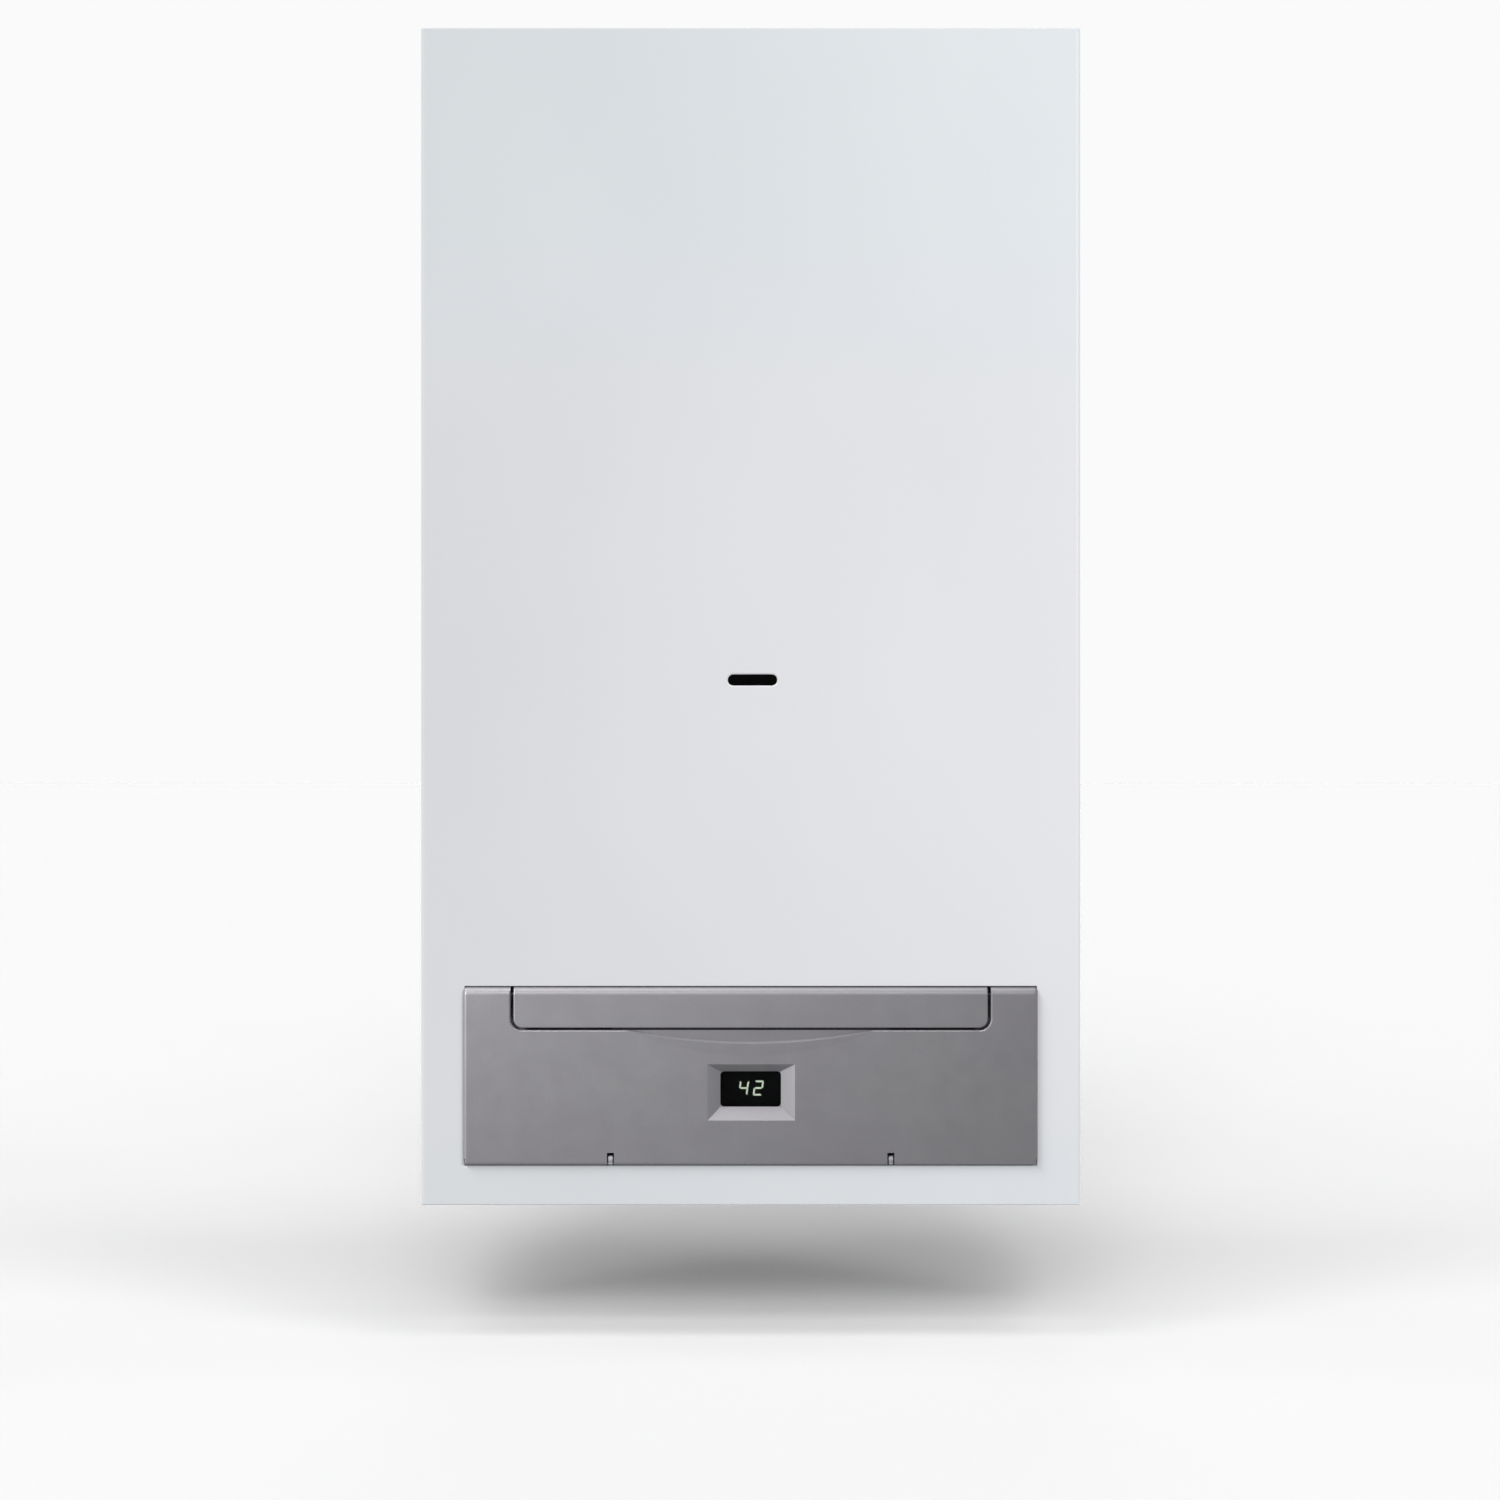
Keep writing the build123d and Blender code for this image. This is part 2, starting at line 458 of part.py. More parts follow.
def control_pcb():
    p = blk(-152, 108, -272, -270.4, 36, 122)
    for x in KNOBS.values():
        p += blk(x - 8, x + 8, -276.8, -272, KNOB_Z - 8, KNOB_Z + 8)
    p += blk(RESET_X - 5, RESET_X + 5, -279.2, -272, RESET_Z - 5, RESET_Z + 5)
    p += blk(-140, -104, -270.4, -242, 52, 92)                 # transformer
    for i in range(4):                                         # relays
        p += blk(-84 + i * 24, -66 + i * 24, -270.4, -255, 44, 68)
    for i in range(6):                                         # plug rows
        p += blk(-88 + i * 30, -66 + i * 30, -270.4, -262, 104, 116)
    p += cy(60, -270.4, -248, 80, 9) + cy(84, -270.4, -252, 80, 7)
    put("control_pcb", p)


def knobs():
    for name, x in KNOBS.items():
        k = cy(x, -296.6, -289.0, KNOB_Z, KNOB_R)
        k = fillet(pick(k, lambda c: near(c.Y, -296.6)), 1.6)
        for i in range(24):                                    # grip flutes
            a = math.radians(15 * i + 7.5)
            k -= cy(x + (KNOB_R + 0.7) * math.cos(a), -298, -288, KNOB_Z + (KNOB_R + 0.7) * math.sin(a), 1.5)
        k -= blk(x - 0.9, x + 0.9, -297.5, -296.0, KNOB_Z + 5, KNOB_Z + 15.2)   # pointer groove
        k += cy(x, -289.2, -277.6, KNOB_Z, 3.0)
        put(name, k)


def reset_button():
    b = cy(RESET_X, -293.2, -281.6, RESET_Z, 5.0)
    b = fillet(pick(b, lambda c: near(c.Y, -293.2)), 0.8)
    b += cy(RESET_X, -285.0, -283.4, RESET_Z, 6.6)
    put("reset_button", b)


def pressure_gauge():
    g = cy(GAUGE_X, -288.5, -262, GAUGE_Z, 20.9)
    g += cy(GAUGE_X, -292.6, FASCIA_Y, GAUGE_Z, 23.2) - cy(GAUGE_X, -295, -280, GAUGE_Z, 19.6)
    g += cy(GAUGE_X, -288.8, -288.0, GAUGE_Z, 19.7)
    g = fillet(pick(g, lambda c: near(c.Y, -292.6)), 0.8)
    g += cy(GAUGE_X, -290.9, -288, GAUGE_Z, 1.0)               # spindle
    g += cy(GAUGE_X, -262.5, -252, GAUGE_Z, 5.5)               # capillary socket
    put("pressure_gauge", g)
    put("gauge_lens", cy(GAUGE_X, -292.2, -291.2, GAUGE_Z, 19.4))
    # needle with a balancing tail, standing at 1.5 on a 0 to 4 scale
    n = blk(-0.55, 0.55, -290.3, -289.7, 0, 15.5) + blk(-1.6, 1.6, -290.3, -289.7, -7.2, 0)
    n += Pos(0, -290.0, 0) * Rot(90, 0, 0) * Cylinder(2.6, 0.6)
    n -= Pos(0, -290.0, 0) * Rot(90, 0, 0) * Cylinder(1.0 + SHAFT_GAP, 3)
    n = Pos(GAUGE_X, 0, GAUGE_Z) * Rot(0, -34, 0) * n
    put("gauge_needle", n)


def cable_gland():
    g = cz(-140, -245, 31.5, 34.5, 11) + cz(-140, -245, 22, 31.5, 7.9) + hex_z(-140, -245, 24, 29, 19)
    g += cz(-140, -245, 15, 24, 8.6)
    g -= cz(-140, -245, 5, 45, 4.0)
    put("cable_gland", g)


def controls():
    control_door()
    door_handle()
    hinge_pins()
    handle_spring()
    display_window()
    display_parts()
    control_fascia()
    control_box()
    control_pcb()
    knobs()
    reset_button()
    pressure_gauge()
    cable_gland()


def casing():
    front_cover()
    side_panel(-1, "side_panel_left")
    side_panel(1, "side_panel_right")
    top_panel()
    back_frame()
    hanging_bracket()
    pipe_tray()
    screws()


# ---------------------------------------------------------------------------
# sealed combustion side
# ---------------------------------------------------------------------------
SHELL_X, SHELL_Y0, SHELL_Y1, SHELL_Z0, SHELL_Z1 = 128.0, -258.0, -134.0, 300.0, 441.0
HX_Z = 476.0
HX_TUBES = (-244.0, -220.0, -196.0, -172.0, -148.0)
FAN_X, FAN_Z = 30.0, 612.0
ELECTRODE_X, ELECTRODE_Z = (-46.0, -34.0, 44.0), 306.5
BLADES = 11
COVER_Y = -284.2
FLOW_UP, RETURN_UP, GAS_UP = (-130.0, -110.0), (150.0, -110.0), (0.0, -124.0)


def sealed_chamber():
    c = blk(-CH_X, CH_X, CH_Y0, CH_Y1, CH_Z0, CH_Z1)
    c += blk(-196, 196, CH_Y0, CH_Y0 + T, CH_Z0 - 7, CH_Z1 + 7)
    c -= blk(-CH_X + T, CH_X - T, CH_Y0 - 5, CH_Y1 - T, CH_Z0 + T, CH_Z1 - T)
    c -= cz(0, FLUE_Y, CH_Z1 - 5, CH_Z1 + 3, 49)
    c -= cz(GAS_UP[0], GAS_UP[1], CH_Z0 - 3, CH_Z0 + 5, 9.6)
    c -= cz(FLOW_UP[0], FLOW_UP[1], CH_Z0 - 3, CH_Z0 + 5, 9.6)
    c -= cz(RETURN_UP[0], RETURN_UP[1], CH_Z0 - 3, CH_Z0 + 5, 9.6)
    for sx in (-1, 1):
        for z in (215, 330, 445, 560, 667):
            c -= cy(sx * 193.3, -282, -277, z, 2.0)
    put("sealed_chamber", c)
    s = blk(-190.5, 190.5, CH_Y0 - 3.0, CH_Y0, CH_Z0 - 4, CH_Z1 + 4)
    s = fillet(s.edges().filter_by(Axis.Y), 8)
    i = blk(-187, 187, CH_Y0 - 4, CH_Y0 + 1, CH_Z0 - 0.5, CH_Z1 + 0.5)
    s -= fillet(i.edges().filter_by(Axis.Y), 5)
    put("chamber_seal", s)


def chamber_cover():
    c = blk(-196, 196, COVER_Y, COVER_Y + T, CH_Z0 - 7, CH_Z1 + 7)
    c += blk(-196, 196, -290, COVER_Y, CH_Z0 - 7, CH_Z0 - 7 + T)
    c += blk(-196, 196, -290, COVER_Y, CH_Z1 + 7 - T, CH_Z1 + 7)
    e = blk(-150, 150, COVER_Y - 2.2, COVER_Y + 0.2, 380, 610)                 # pressed stiffening field
    e = fillet(e.edges().filter_by(Axis.Y), 14)
    i = blk(-148.8, 148.8, COVER_Y - 1.0, COVER_Y + 3, 381.2, 608.8)
    c = c + e - fillet(i.edges().filter_by(Axis.Y), 12.8)
    c += blk(-27, 27, COVER_Y - 5.0, COVER_Y, SLOT_Z - 12.5, SLOT_Z + 12.5)
    c -= blk(-19, 19, -300, -280, SLOT_Z - 6.5, SLOT_Z + 6.5)
    c -= blk(-22.2, 22.2, -300, COVER_Y - 1.2, SLOT_Z - 9.5, SLOT_Z + 9.5)
    for sx in (-1, 1):
        for z in (215, 330, 445, 560, 667):
            c -= cy(sx * 193.3, -290, -282, z, 2.0)
    put("chamber_cover", c)
    put("sight_glass", blk(-22, 22, COVER_Y - 4.2, COVER_Y - 1.2, SLOT_Z - 9.3, SLOT_Z + 9.3))


def combustion_chamber():
    s = blk(-SHELL_X, SHELL_X, SHELL_Y0, SHELL_Y1, SHELL_Z0, SHELL_Z1)
    s -= blk(-SHELL_X + 1, SHELL_X - 1, SHELL_Y0 + 1, SHELL_Y1 - 1, SHELL_Z0 - 5, SHELL_Z1 + 5)
    s -= blk(-20, 20, SHELL_Y0 - 1, SHELL_Y0 + 3, SLOT_Z - 7, SLOT_Z + 7)
    for x in ELECTRODE_X:
        s -= cy(x, SHELL_Y0 - 2, SHELL_Y0 + 3, ELECTRODE_Z, 3.8)
    for sx in (-1, 1):                                         # arms to the chamber walls
        for y in (-250, -152):
            a, c = sorted((sx * (SHELL_X - 0.5), sx * (CH_X - T)))
            s += blk(a, c, y, y + 10, SHELL_Z0, SHELL_Z0 + 1.5)
    put("combustion_chamber", s)
    xi, y0, y1 = SHELL_X - 1, SHELL_Y0 + 1, SHELL_Y1 - 1
    z0, z1 = SHELL_Z0 + 3, SHELL_Z1 - 1
    front = blk(-xi + 9, xi - 9, y0, y0 + 9, z0, z1) - blk(-18, 18, y0 - 1, y0 + 12, SLOT_Z - 6, SLOT_Z + 6)
    for x in ELECTRODE_X:
        front -= cy(x, y0 - 1, y0 + 12, ELECTRODE_Z, 3.8)
    put("insulation_panels", front, blk(-xi + 9, xi - 9, y1 - 9, y1, z0, z1),
        blk(-xi, -xi + 9, y0, y1, z0, z1), blk(xi - 9, xi, y0, y1, z0, z1))


def burner():
    b = blk(-124, 124, -252, -140, 262, 299) - blk(-122.5, 122.5, -250.5, -141.5, 260, 301)
    pitch = 21.0
    for i in range(BLADES):
        x = (i - (BLADES - 1) / 2) * pitch
        blade = blk(x - 5.5, x + 5.5, -250.6, -141.4, 266, 296) - blk(x - 0.9, x + 0.9, -245, -147, 290, 297)
        for k in (-2.6, 2.6):
            blade -= blk(x + k - 0.4, x + k + 0.4, -245, -147, 293, 297)
        b += blade
        b -= cy(x, -143, -138, 275, 5.2)
    b += blk(-122.6, 122.6, -200, -192, 264, 266.2)            # cross rail under the blades
    put("burner", b)
    m = cx(-117, 117, -124, 275, 9.0)
    m -= cx(-114, 114, -124, 275, 7.2)
    for i in range(BLADES):
        x = (i - (BLADES - 1) / 2) * pitch
        m += cy(x, -137.5, -131.5, 275, 3.2)
        m -= cy(x, -139, -122, 275, 0.6)
    m += cz(0, -124, 262, 267.5, 10)
    m -= cz(0, -124, 258, 275, 6)
    for sx in (-1, 1):
        a, c = sorted((sx * 100, sx * 110))
        m += blk(a, c, -116, CH_Y1 - T, 273, 277)              # feet on the chamber's back wall
    put("burner_manifold", m)


def electrodes():
    out = []
    for x in ELECTRODE_X:
        e = cy(x, -272, -247, ELECTRODE_Z, 3.5) + cy(x, -277, -222, ELECTRODE_Z, 0.9)
        e += cy(x, -262, -259.2, ELECTRODE_Z, 5.0)
        out.append(e)
    put("electrodes", *out)


def heat_exchanger():
    h = blk(-121, 121, -257, -135, 443, 509) - blk(-119, 119, -255.8, -136.2, 440, 512)
    for i in range(23):
        x = -110 + i * 10
        h += blk(x - 0.4, x + 0.4, -256, -136, 451, 501)
    for y in HX_TUBES:
        h += cx(-128, 128, y, HX_Z, 8.0)
    for y0, y1, sx in ((-148, -172, -1), (-172, -196, 1), (-196, -220, -1), (-220, -244, 1)):
        h += cy(sx * 128, y0, y1, HX_Z, 8.0)
        h += Pos(sx * 128, y0, HX_Z) * Sphere(8.0)
        h += Pos(sx * 128, y1, HX_Z) * Sphere(8.0)
    h += cx(-137, -126, -244, HX_Z, 8.0) + cx(126, 137, -148, HX_Z, 8.0)
    put("heat_exchanger", h)


def hood_solid(o, z0, z1):
    x0, x1, y0, y1 = -122 + o, 122 - o, -258 + o, -134 - o
    a0, a1, b0, b1 = -25 + o, 85 - o, -156 + o, -108 - o
    p0 = Plane(origin=((x0 + x1) / 2, (y0 + y1) / 2, z0)) * Rectangle(x1 - x0, y1 - y0)
    p1 = Plane(origin=((a0 + a1) / 2, (b0 + b1) / 2, z1)) * Rectangle(a1 - a0, b1 - b0)
    return loft([p0, p1])


def flue_hood():
    h = hood_solid(0, 509, 552) + blk(-25, 85, -156, -108, 552, 660)
    h -= hood_solid(1.2, 509, 552)
    h -= blk(-25 + 1.2, 85 - 1.2, -154.8, -109.2, 551.9, 658.8)
    h -= cy(FAN_X, -158, -152, FAN_Z, 33)
    put("flue_hood", h)


def fan():
    y0, y1 = -211.0, -156.2
    ym = (y0 + y1) / 2
    f = cy(FAN_X, y0, y1, FAN_Z, 58) + blk(-28, 28, y0, y1, FAN_Z, 664) + cz(0, FLUE_Y, 661, 680, 28.4)
    f -= cy(FAN_X, y0 + T, y1 - T, FAN_Z, 58 - T)
    f -= blk(-28 + T, 28 - T, y0 + T, y1 - T, FAN_Z, 664 - T)
    f -= cz(0, FLUE_Y, 655, 685, 26.4)
    f -= cy(FAN_X, y1 - 3, y1 + 2, FAN_Z, 33) + cy(FAN_X, y0 - 2, y0 + 3, FAN_Z, 9)
    put("fan_housing", f)
    m = cy(FAN_X, -246, -214, FAN_Z, 26)
    m = fillet(pick(m, lambda c: near(c.Y, -246)), 5)
    m += cy(FAN_X, -214, -211, FAN_Z, 34)
    for i in range(12):
        a = math.radians(30 * i)
        m -= Pos(FAN_X + 25.5 * math.cos(a), -230, FAN_Z + 25.5 * math.sin(a)) * Rot(0, -30 * i, 0) * Box(3, 20, 3.2)
    m -= cy(FAN_X, -240, -205, FAN_Z, 4.0 + SHAFT_GAP)
    put("fan_motor", m)
    r = cy(FAN_X, -238, -184, FAN_Z, 4.0) + cy(FAN_X, -206, -184, FAN_Z, 10)
    r += cy(FAN_X, -206, -204.4, FAN_Z, 50)
    r += cy(FAN_X, -168, -166.4, FAN_Z, 50) - cy(FAN_X, -170, -165, FAN_Z, 38)
    for i in range(18):
        blade = Pos(FAN_X, 0, FAN_Z) * Rot(0, 20 * i, 0) * Pos(43.5, -186.2, 0) * Rot(0, 28, 0) * Box(12, 36.6, 1.2)
        r += blade
    put("fan_impeller", r)


def flue_collar():
    z0 = TOP_Z + T
    c = blk(-75, 75, FLUE_Y - 75, FLUE_Y + 75, z0, z0 + 2.5)
    c = fillet(c.edges().filter_by(Axis.Z), 8)
    c += cz(0, FLUE_Y, z0, FLUE_TOP, AIR_R)
    c += cz(0, FLUE_Y, 671, z0 + 1, 48.5)
    c -= cz(0, FLUE_Y, 660, FLUE_TOP + 1, 47.3)
    p = cz(0, FLUE_Y, 670.6, TOP_Z, FLUE_R - 0.4) + cz(0, FLUE_Y, TOP_Z, FLUE_TOP, FLUE_R)
    for i in range(3):
        p += Pos(0, FLUE_Y, 677.5) * Rot(0, 0, 120 * i + 90) * Pos(38.5, 0, 0) * Box(19, 1.5, 9)
    p -= cz(0, FLUE_Y, 660, FLUE_TOP + 1, 28.8)
    for sx in (-1, 1):
        for sy in (-1, 1):
            c -= cz(sx * 62, FLUE_Y + sy * 62, z0 - 1, z0 + 4, 2.1)
    put("flue_collar", c + p)


def pressure_switch():
    s = cy(-120, -138, -116, 600, 26) + cy(-120, -129, -125, 600, 30)
    s = fillet(pick(s, lambda c: near(c.Y, -138)), 3)
    s += cy(-120, -148, -138, 606, 3) + cy(-108, -148, -138, 594, 3)
    s += blk(-134, -106, -116, CH_Y1 - T, 592, 608)
    put("pressure_switch", s)


# ---------------------------------------------------------------------------
# water and gas side
# ---------------------------------------------------------------------------
def expansion_vessel():
    v = blk(-162, 162, -92, -22, 252, 600)
    v = fillet(v.edges().filter_by(Axis.Y), 45)
    v = fillet(pick(v, lambda c: near(c.Y, -92) or near(c.Y, -22)), 12)
    i = blk(-160.4, 160.4, -90.4, -23.6, 253.6, 598.4)
    i = fillet(i.edges().filter_by(Axis.Y), 43.4)
    i = fillet(pick(i, lambda c: near(c.Y, -90.4) or near(c.Y, -23.6)), 10.4)
    rim = blk(-167, 167, -60, -54, 247, 605)
    rim = fillet(rim.edges().filter_by(Axis.Y), 50)
    v = v + rim - i
    v += cz(60, -57, 240, 255, 7.5)
    v -= cz(60, -57, 235, 258, 4.5)
    v += cz(-60, -57, 601, 616, 5)                             # filling valve on top
    for z in (300, 540):
        v += blk(-30, 30, -24, -14, z, z + 24)                 # feet on the back frame
    put("expansion_vessel", v)
    m = blk(-158, 158, -59, -56.5, 256, 596)
    m = fillet(m.edges().filter_by(Axis.Y), 41)
    put("vessel_diaphragm", m)


def vessel_hose():
    pts = [(60, -57, 240), (60, -57, 185), (60, -110, 146), (60, -110, 106)]
    h = pipe(pts, 5.0, 24) + cz(60, -57, 232, 240, 8.5) + cz(60, -110, 106, 114, 8.5)
    print("vessel_hose bends 24 mm")
    put("vessel_hose", h)


def gas_side():
    v = blk(-36, 36, -150, -84, 96, 150)
    v = fillet(v.edges(), 4)
    v += cz(0, PIPE_Y, 88, 98, 15) + cz(0, -124, 148, 160, 12)
    v += cz(-18, -98, 148, 190, 12.5) + cz(19, -98, 148, 180, 11)
    v += cy(0, -159, -148, 123, 10) + cy(22, -155, -148, 108, 4) + cy(-22, -155, -148, 108, 4)
    v += blk(-30, -6, -160, -148, 134, 146)
    v -= cz(-18, -98, 152, 186, 6.0 + SHAFT_GAP)
    put("gas_valve", v)
    put("gas_valve_plunger", cz(-18, -98, 154, 180, 6.0))
    inlet = cz(0, PIPE_Y, PIPE_END, 24, R34) + hex_z(0, PIPE_Y, 24, 33, 32) + cz(0, PIPE_Y, 33, 88, 10.5) + hex_z(0, PIPE_Y, 78, 88, 30)
    inlet -= cz(0, PIPE_Y, PIPE_END - 1, 80, 8.5)
    outlet = cz(0, -124, 160, 262, 8.0) + hex_z(0, -124, 160, 171, 26) + hex_z(0, -124, 214, 225, 26)
    put("gas_pipes", inlet, outlet)


def stub(x, thread_r, body_r, bore_r, top):
    s = cz(x, PIPE_Y, PIPE_END, 24, thread_r) + hex_z(x, PIPE_Y, 24, 33, 2.42 * thread_r) + cz(x, PIPE_Y, 33, top, body_r)
    return s, cz(x, PIPE_Y, PIPE_END - 1, top, bore_r)


def flow_block():
    b = cx(-152, -46, PIPE_Y, 80, 17)
    s1, c1 = stub(PIPE_X["flow"], R34, 12.5, 9.5, 80)
    s2, c2 = stub(PIPE_X["hot"], R12, 10.0, 7.2, 80)
    b += s1 + s2 + cz(-130, PIPE_Y, 80, 116, 12.5)
    b += cz(-80, PIPE_Y, 80, 112, 9) + cy(-80, PIPE_Y, -76, 112, 9) + cy(-80, PIPE_Y, -76, 76, 9) + Pos(-80, PIPE_Y, 112) * Sphere(9)
    b += cy(-100, -150, PIPE_Y, 80, 14)
    b -= c1 + c2 + cx(-147, -50, PIPE_Y, 80, 11) + cz(-130, PIPE_Y, 80, 110, 8.5)
    b -= cy(-100, -146, -104, 80, 9.2)
    b -= cy(-100, -155, -140, 80, 4.0 + SHAFT_GAP)
    put("flow_block", b)
    m = blk(-122, -78, -204, -156, 58, 104)
    m = fillet(m.edges().filter_by(Axis.Y), 6)
    m += cy(-100, -156.5, -150, 80, 12)
    m += blk(-108, -92, -200, -170, 103, 112)                  # plug socket
    m -= cy(-100, -190, -149, 80, 4.0 + SHAFT_GAP)
    put("diverter_motor", m)
    p = cy(-100, -180, -118, 80, 4.0) + cy(-100, -132, -126, 80, 8.2)
    put("diverter_plunger", p)


def return_block():
    b = cx(46, 152, PIPE_Y, 80, 17)
    s1, c1 = stub(PIPE_X["return"], R34, 12.5, 9.5, 80)
    s2, c2 = stub(PIPE_X["cold"], R12, 11.0, 7.6, 80)
    b += s1 + s2 + cz(120, PIPE_Y, 80, 100, 14)
    b += cz(84, PIPE_Y, 80, 112, 9) + cy(84, PIPE_Y, -76, 112, 9) + cy(84, PIPE_Y, -76, 76, 9) + Pos(84, PIPE_Y, 112) * Sphere(9)
    b += cz(60, PIPE_Y, 90, 106, 8)
    b += cz(98, PIPE_Y, 40, 80, 8.5)
    b += cx(148, 166, PIPE_Y, 80, 10) + cy(166, -152, -98, 80, 11) + cz(166, -132, 12, 80, 7.5) + cz(166, -132, 30, 44, 9.2)
    b -= c1 + c2 + cx(50, 147, PIPE_Y, 80, 11) + cz(120, PIPE_Y, 80, 101, 10)
    b -= cz(98, PIPE_Y, 39, 66, 3.0 + SHAFT_GAP)
    b -= cy(166, -153, -130, 80, 3.0 + SHAFT_GAP)
    b -= cz(166, -132, 10, 60, 5.5)
    spider = blk(65 - 8.5, 65 + 8.5, PIPE_Y - 0.8, PIPE_Y + 0.8, 56, 57.6) + blk(65 - 0.8, 65 + 0.8, PIPE_Y - 8.5, PIPE_Y + 8.5, 56, 57.6)
    b += spider + cz(65, PIPE_Y, 44, 57, 1.0)
    put("return_block", b)
    t = cz(65, PIPE_Y, 46, 54.5, 2.4)
    for i in range(4):
        t += Pos(65, PIPE_Y, 50.2) * Rot(0, 0, 90 * i) * Pos(4.4, 0, 0) * Rot(38, 0, 0) * Box(4.4, 1.0, 7.5)
    t -= cz(65, PIPE_Y, 40, 60, 1.0 + SHAFT_GAP)
    put("flow_turbine", t)
    k = cz(98, PIPE_Y, 8, 26, 11)
    k = fillet(pick(k, lambda c: near(c.Z, 8)), 1.5)
    for i in range(12):
        a = math.radians(30 * i)
        k -= cz(98 + 11.8 * math.cos(a), PIPE_Y + 11.8 * math.sin(a), 5, 23, 1.9)
    k += cz(98, PIPE_Y, 26, 62, 3.0)
    put("filling_knob", k)
    s = cy(166, -174, -153.5, 80, 13)
    s = fillet(pick(s, lambda c: near(c.Y, -174)), 2)
    for i in range(6):
        a = math.radians(60 * i + 30)
        s -= cy(166 + 15 * math.cos(a), -180, -157, 80 + 15 * math.sin(a), 4.2)
    s += cy(166, -154, -134, 80, 3.0)
    put("safety_valve_knob", s)


def plate_heat_exchanger():
    p = blk(-98, 98, -76, -34, 58, 130)
    p = fillet(p.edges().filter_by(Axis.Y), 8)
    for i in range(9):
        y = -71.5 + i * 4.2
        g = blk(-100, 100, y - 0.7, y + 0.7, 50, 140)
        k = blk(-96.6, 96.6, y - 1, y + 1, 59.4, 128.6)
        p -= g - fillet(k.edges().filter_by(Axis.Y), 7)
    put("plate_heat_exchanger", p)


def pump():
    b = cy(120, -130, -92, 152, 42)
    b = fillet(pick(b, lambda c: near(c.Y, -92)), 5)
    b += cz(120, PIPE_Y, 100, 115, 14) + cz(150, PIPE_Y, 152, 198, 11)
    b -= cy(120, -131, -98, 152, 36)
    b -= cz(120, PIPE_Y, 99, 118, 10) + cz(150, PIPE_Y, 152, 199, 7.5)
    put("pump_body", b)
    m = cy(120, -190, -130, 152, 37)
    m = fillet(pick(m, lambda c: near(c.Y, -190)), 4)
    m += cy(120, -134, -130, 152, 42) + cy(120, -130.5, -126, 152, 35.7)
    m += blk(96, 144, -182, -142, 182, 203)                    # terminal box
    m += cy(120, -194, -189, 152, 9)
    m -= cy(120, -176, -120, 152, 5.0 + SHAFT_GAP)
    put("pump_motor", m)
    r = cy(120, -172, -110, 152, 5.0) + cy(120, -122, -120, 152, 32) + cy(120, -110, -108.4, 152, 32) - cy(120, -111, -107, 152, 12)
    for i in range(6):
        r += Pos(120, 0, 152) * Rot(0, 60 * i, 0) * Pos(21.5, -115.2, 0) * Rot(0, 35, 0) * Box(19, 10.8, 1.6)
    put("pump_impeller", r)


def heating_pipes():
    flow = pipe([(-137, -244, HX_Z), (-162, -244, HX_Z), (-162, -244, 330), (-130, -110, 250), (-130, -110, 116)], 8.0, 18)
    ret = pipe([(137, -148, HX_Z), (164, -148, HX_Z), (164, -148, 350), (150, -110, 270), (150, -110, 198)], 8.0, 18)
    put("heating_pipes", flow, ret)


def combustion():
    sealed_chamber()
    chamber_cover()
    combustion_chamber()
    burner()
    electrodes()
    heat_exchanger()
    flue_hood()
    fan()
    flue_collar()
    pressure_switch()


def hydraulics():
    expansion_vessel()
    vessel_hose()
    gas_side()
    flow_block()
    return_block()
    plate_heat_exchanger()
    pump()
    heating_pipes()


casing()
controls()
combustion()
hydraulics()
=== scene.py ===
import json
import math

import bmesh
import bpy
from mathutils import Matrix, Vector


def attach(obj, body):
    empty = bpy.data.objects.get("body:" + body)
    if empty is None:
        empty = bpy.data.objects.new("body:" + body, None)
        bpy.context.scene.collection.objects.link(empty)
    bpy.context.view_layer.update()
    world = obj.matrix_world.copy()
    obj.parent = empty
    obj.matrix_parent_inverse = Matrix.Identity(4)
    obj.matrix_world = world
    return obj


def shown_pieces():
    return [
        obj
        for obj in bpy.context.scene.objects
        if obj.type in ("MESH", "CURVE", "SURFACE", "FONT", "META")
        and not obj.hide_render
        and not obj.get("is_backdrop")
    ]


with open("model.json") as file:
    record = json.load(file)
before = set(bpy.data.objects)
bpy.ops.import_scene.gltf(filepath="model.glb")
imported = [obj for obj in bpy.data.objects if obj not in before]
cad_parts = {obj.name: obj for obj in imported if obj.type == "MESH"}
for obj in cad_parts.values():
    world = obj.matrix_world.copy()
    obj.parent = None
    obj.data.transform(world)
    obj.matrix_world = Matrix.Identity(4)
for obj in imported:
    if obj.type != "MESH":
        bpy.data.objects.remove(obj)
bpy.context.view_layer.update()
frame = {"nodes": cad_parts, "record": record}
NODES = frame["nodes"]

# The CAD drawing heights are measured from the casing's lower edge, in mm.
BASE = 0.664


def at(x, y, z):
    """A drawing point in mm as a point of the shared frame in metres."""
    return Vector((x / 1000, y / 1000, z / 1000 - BASE))


# ---------------------------------------------------------------- materials


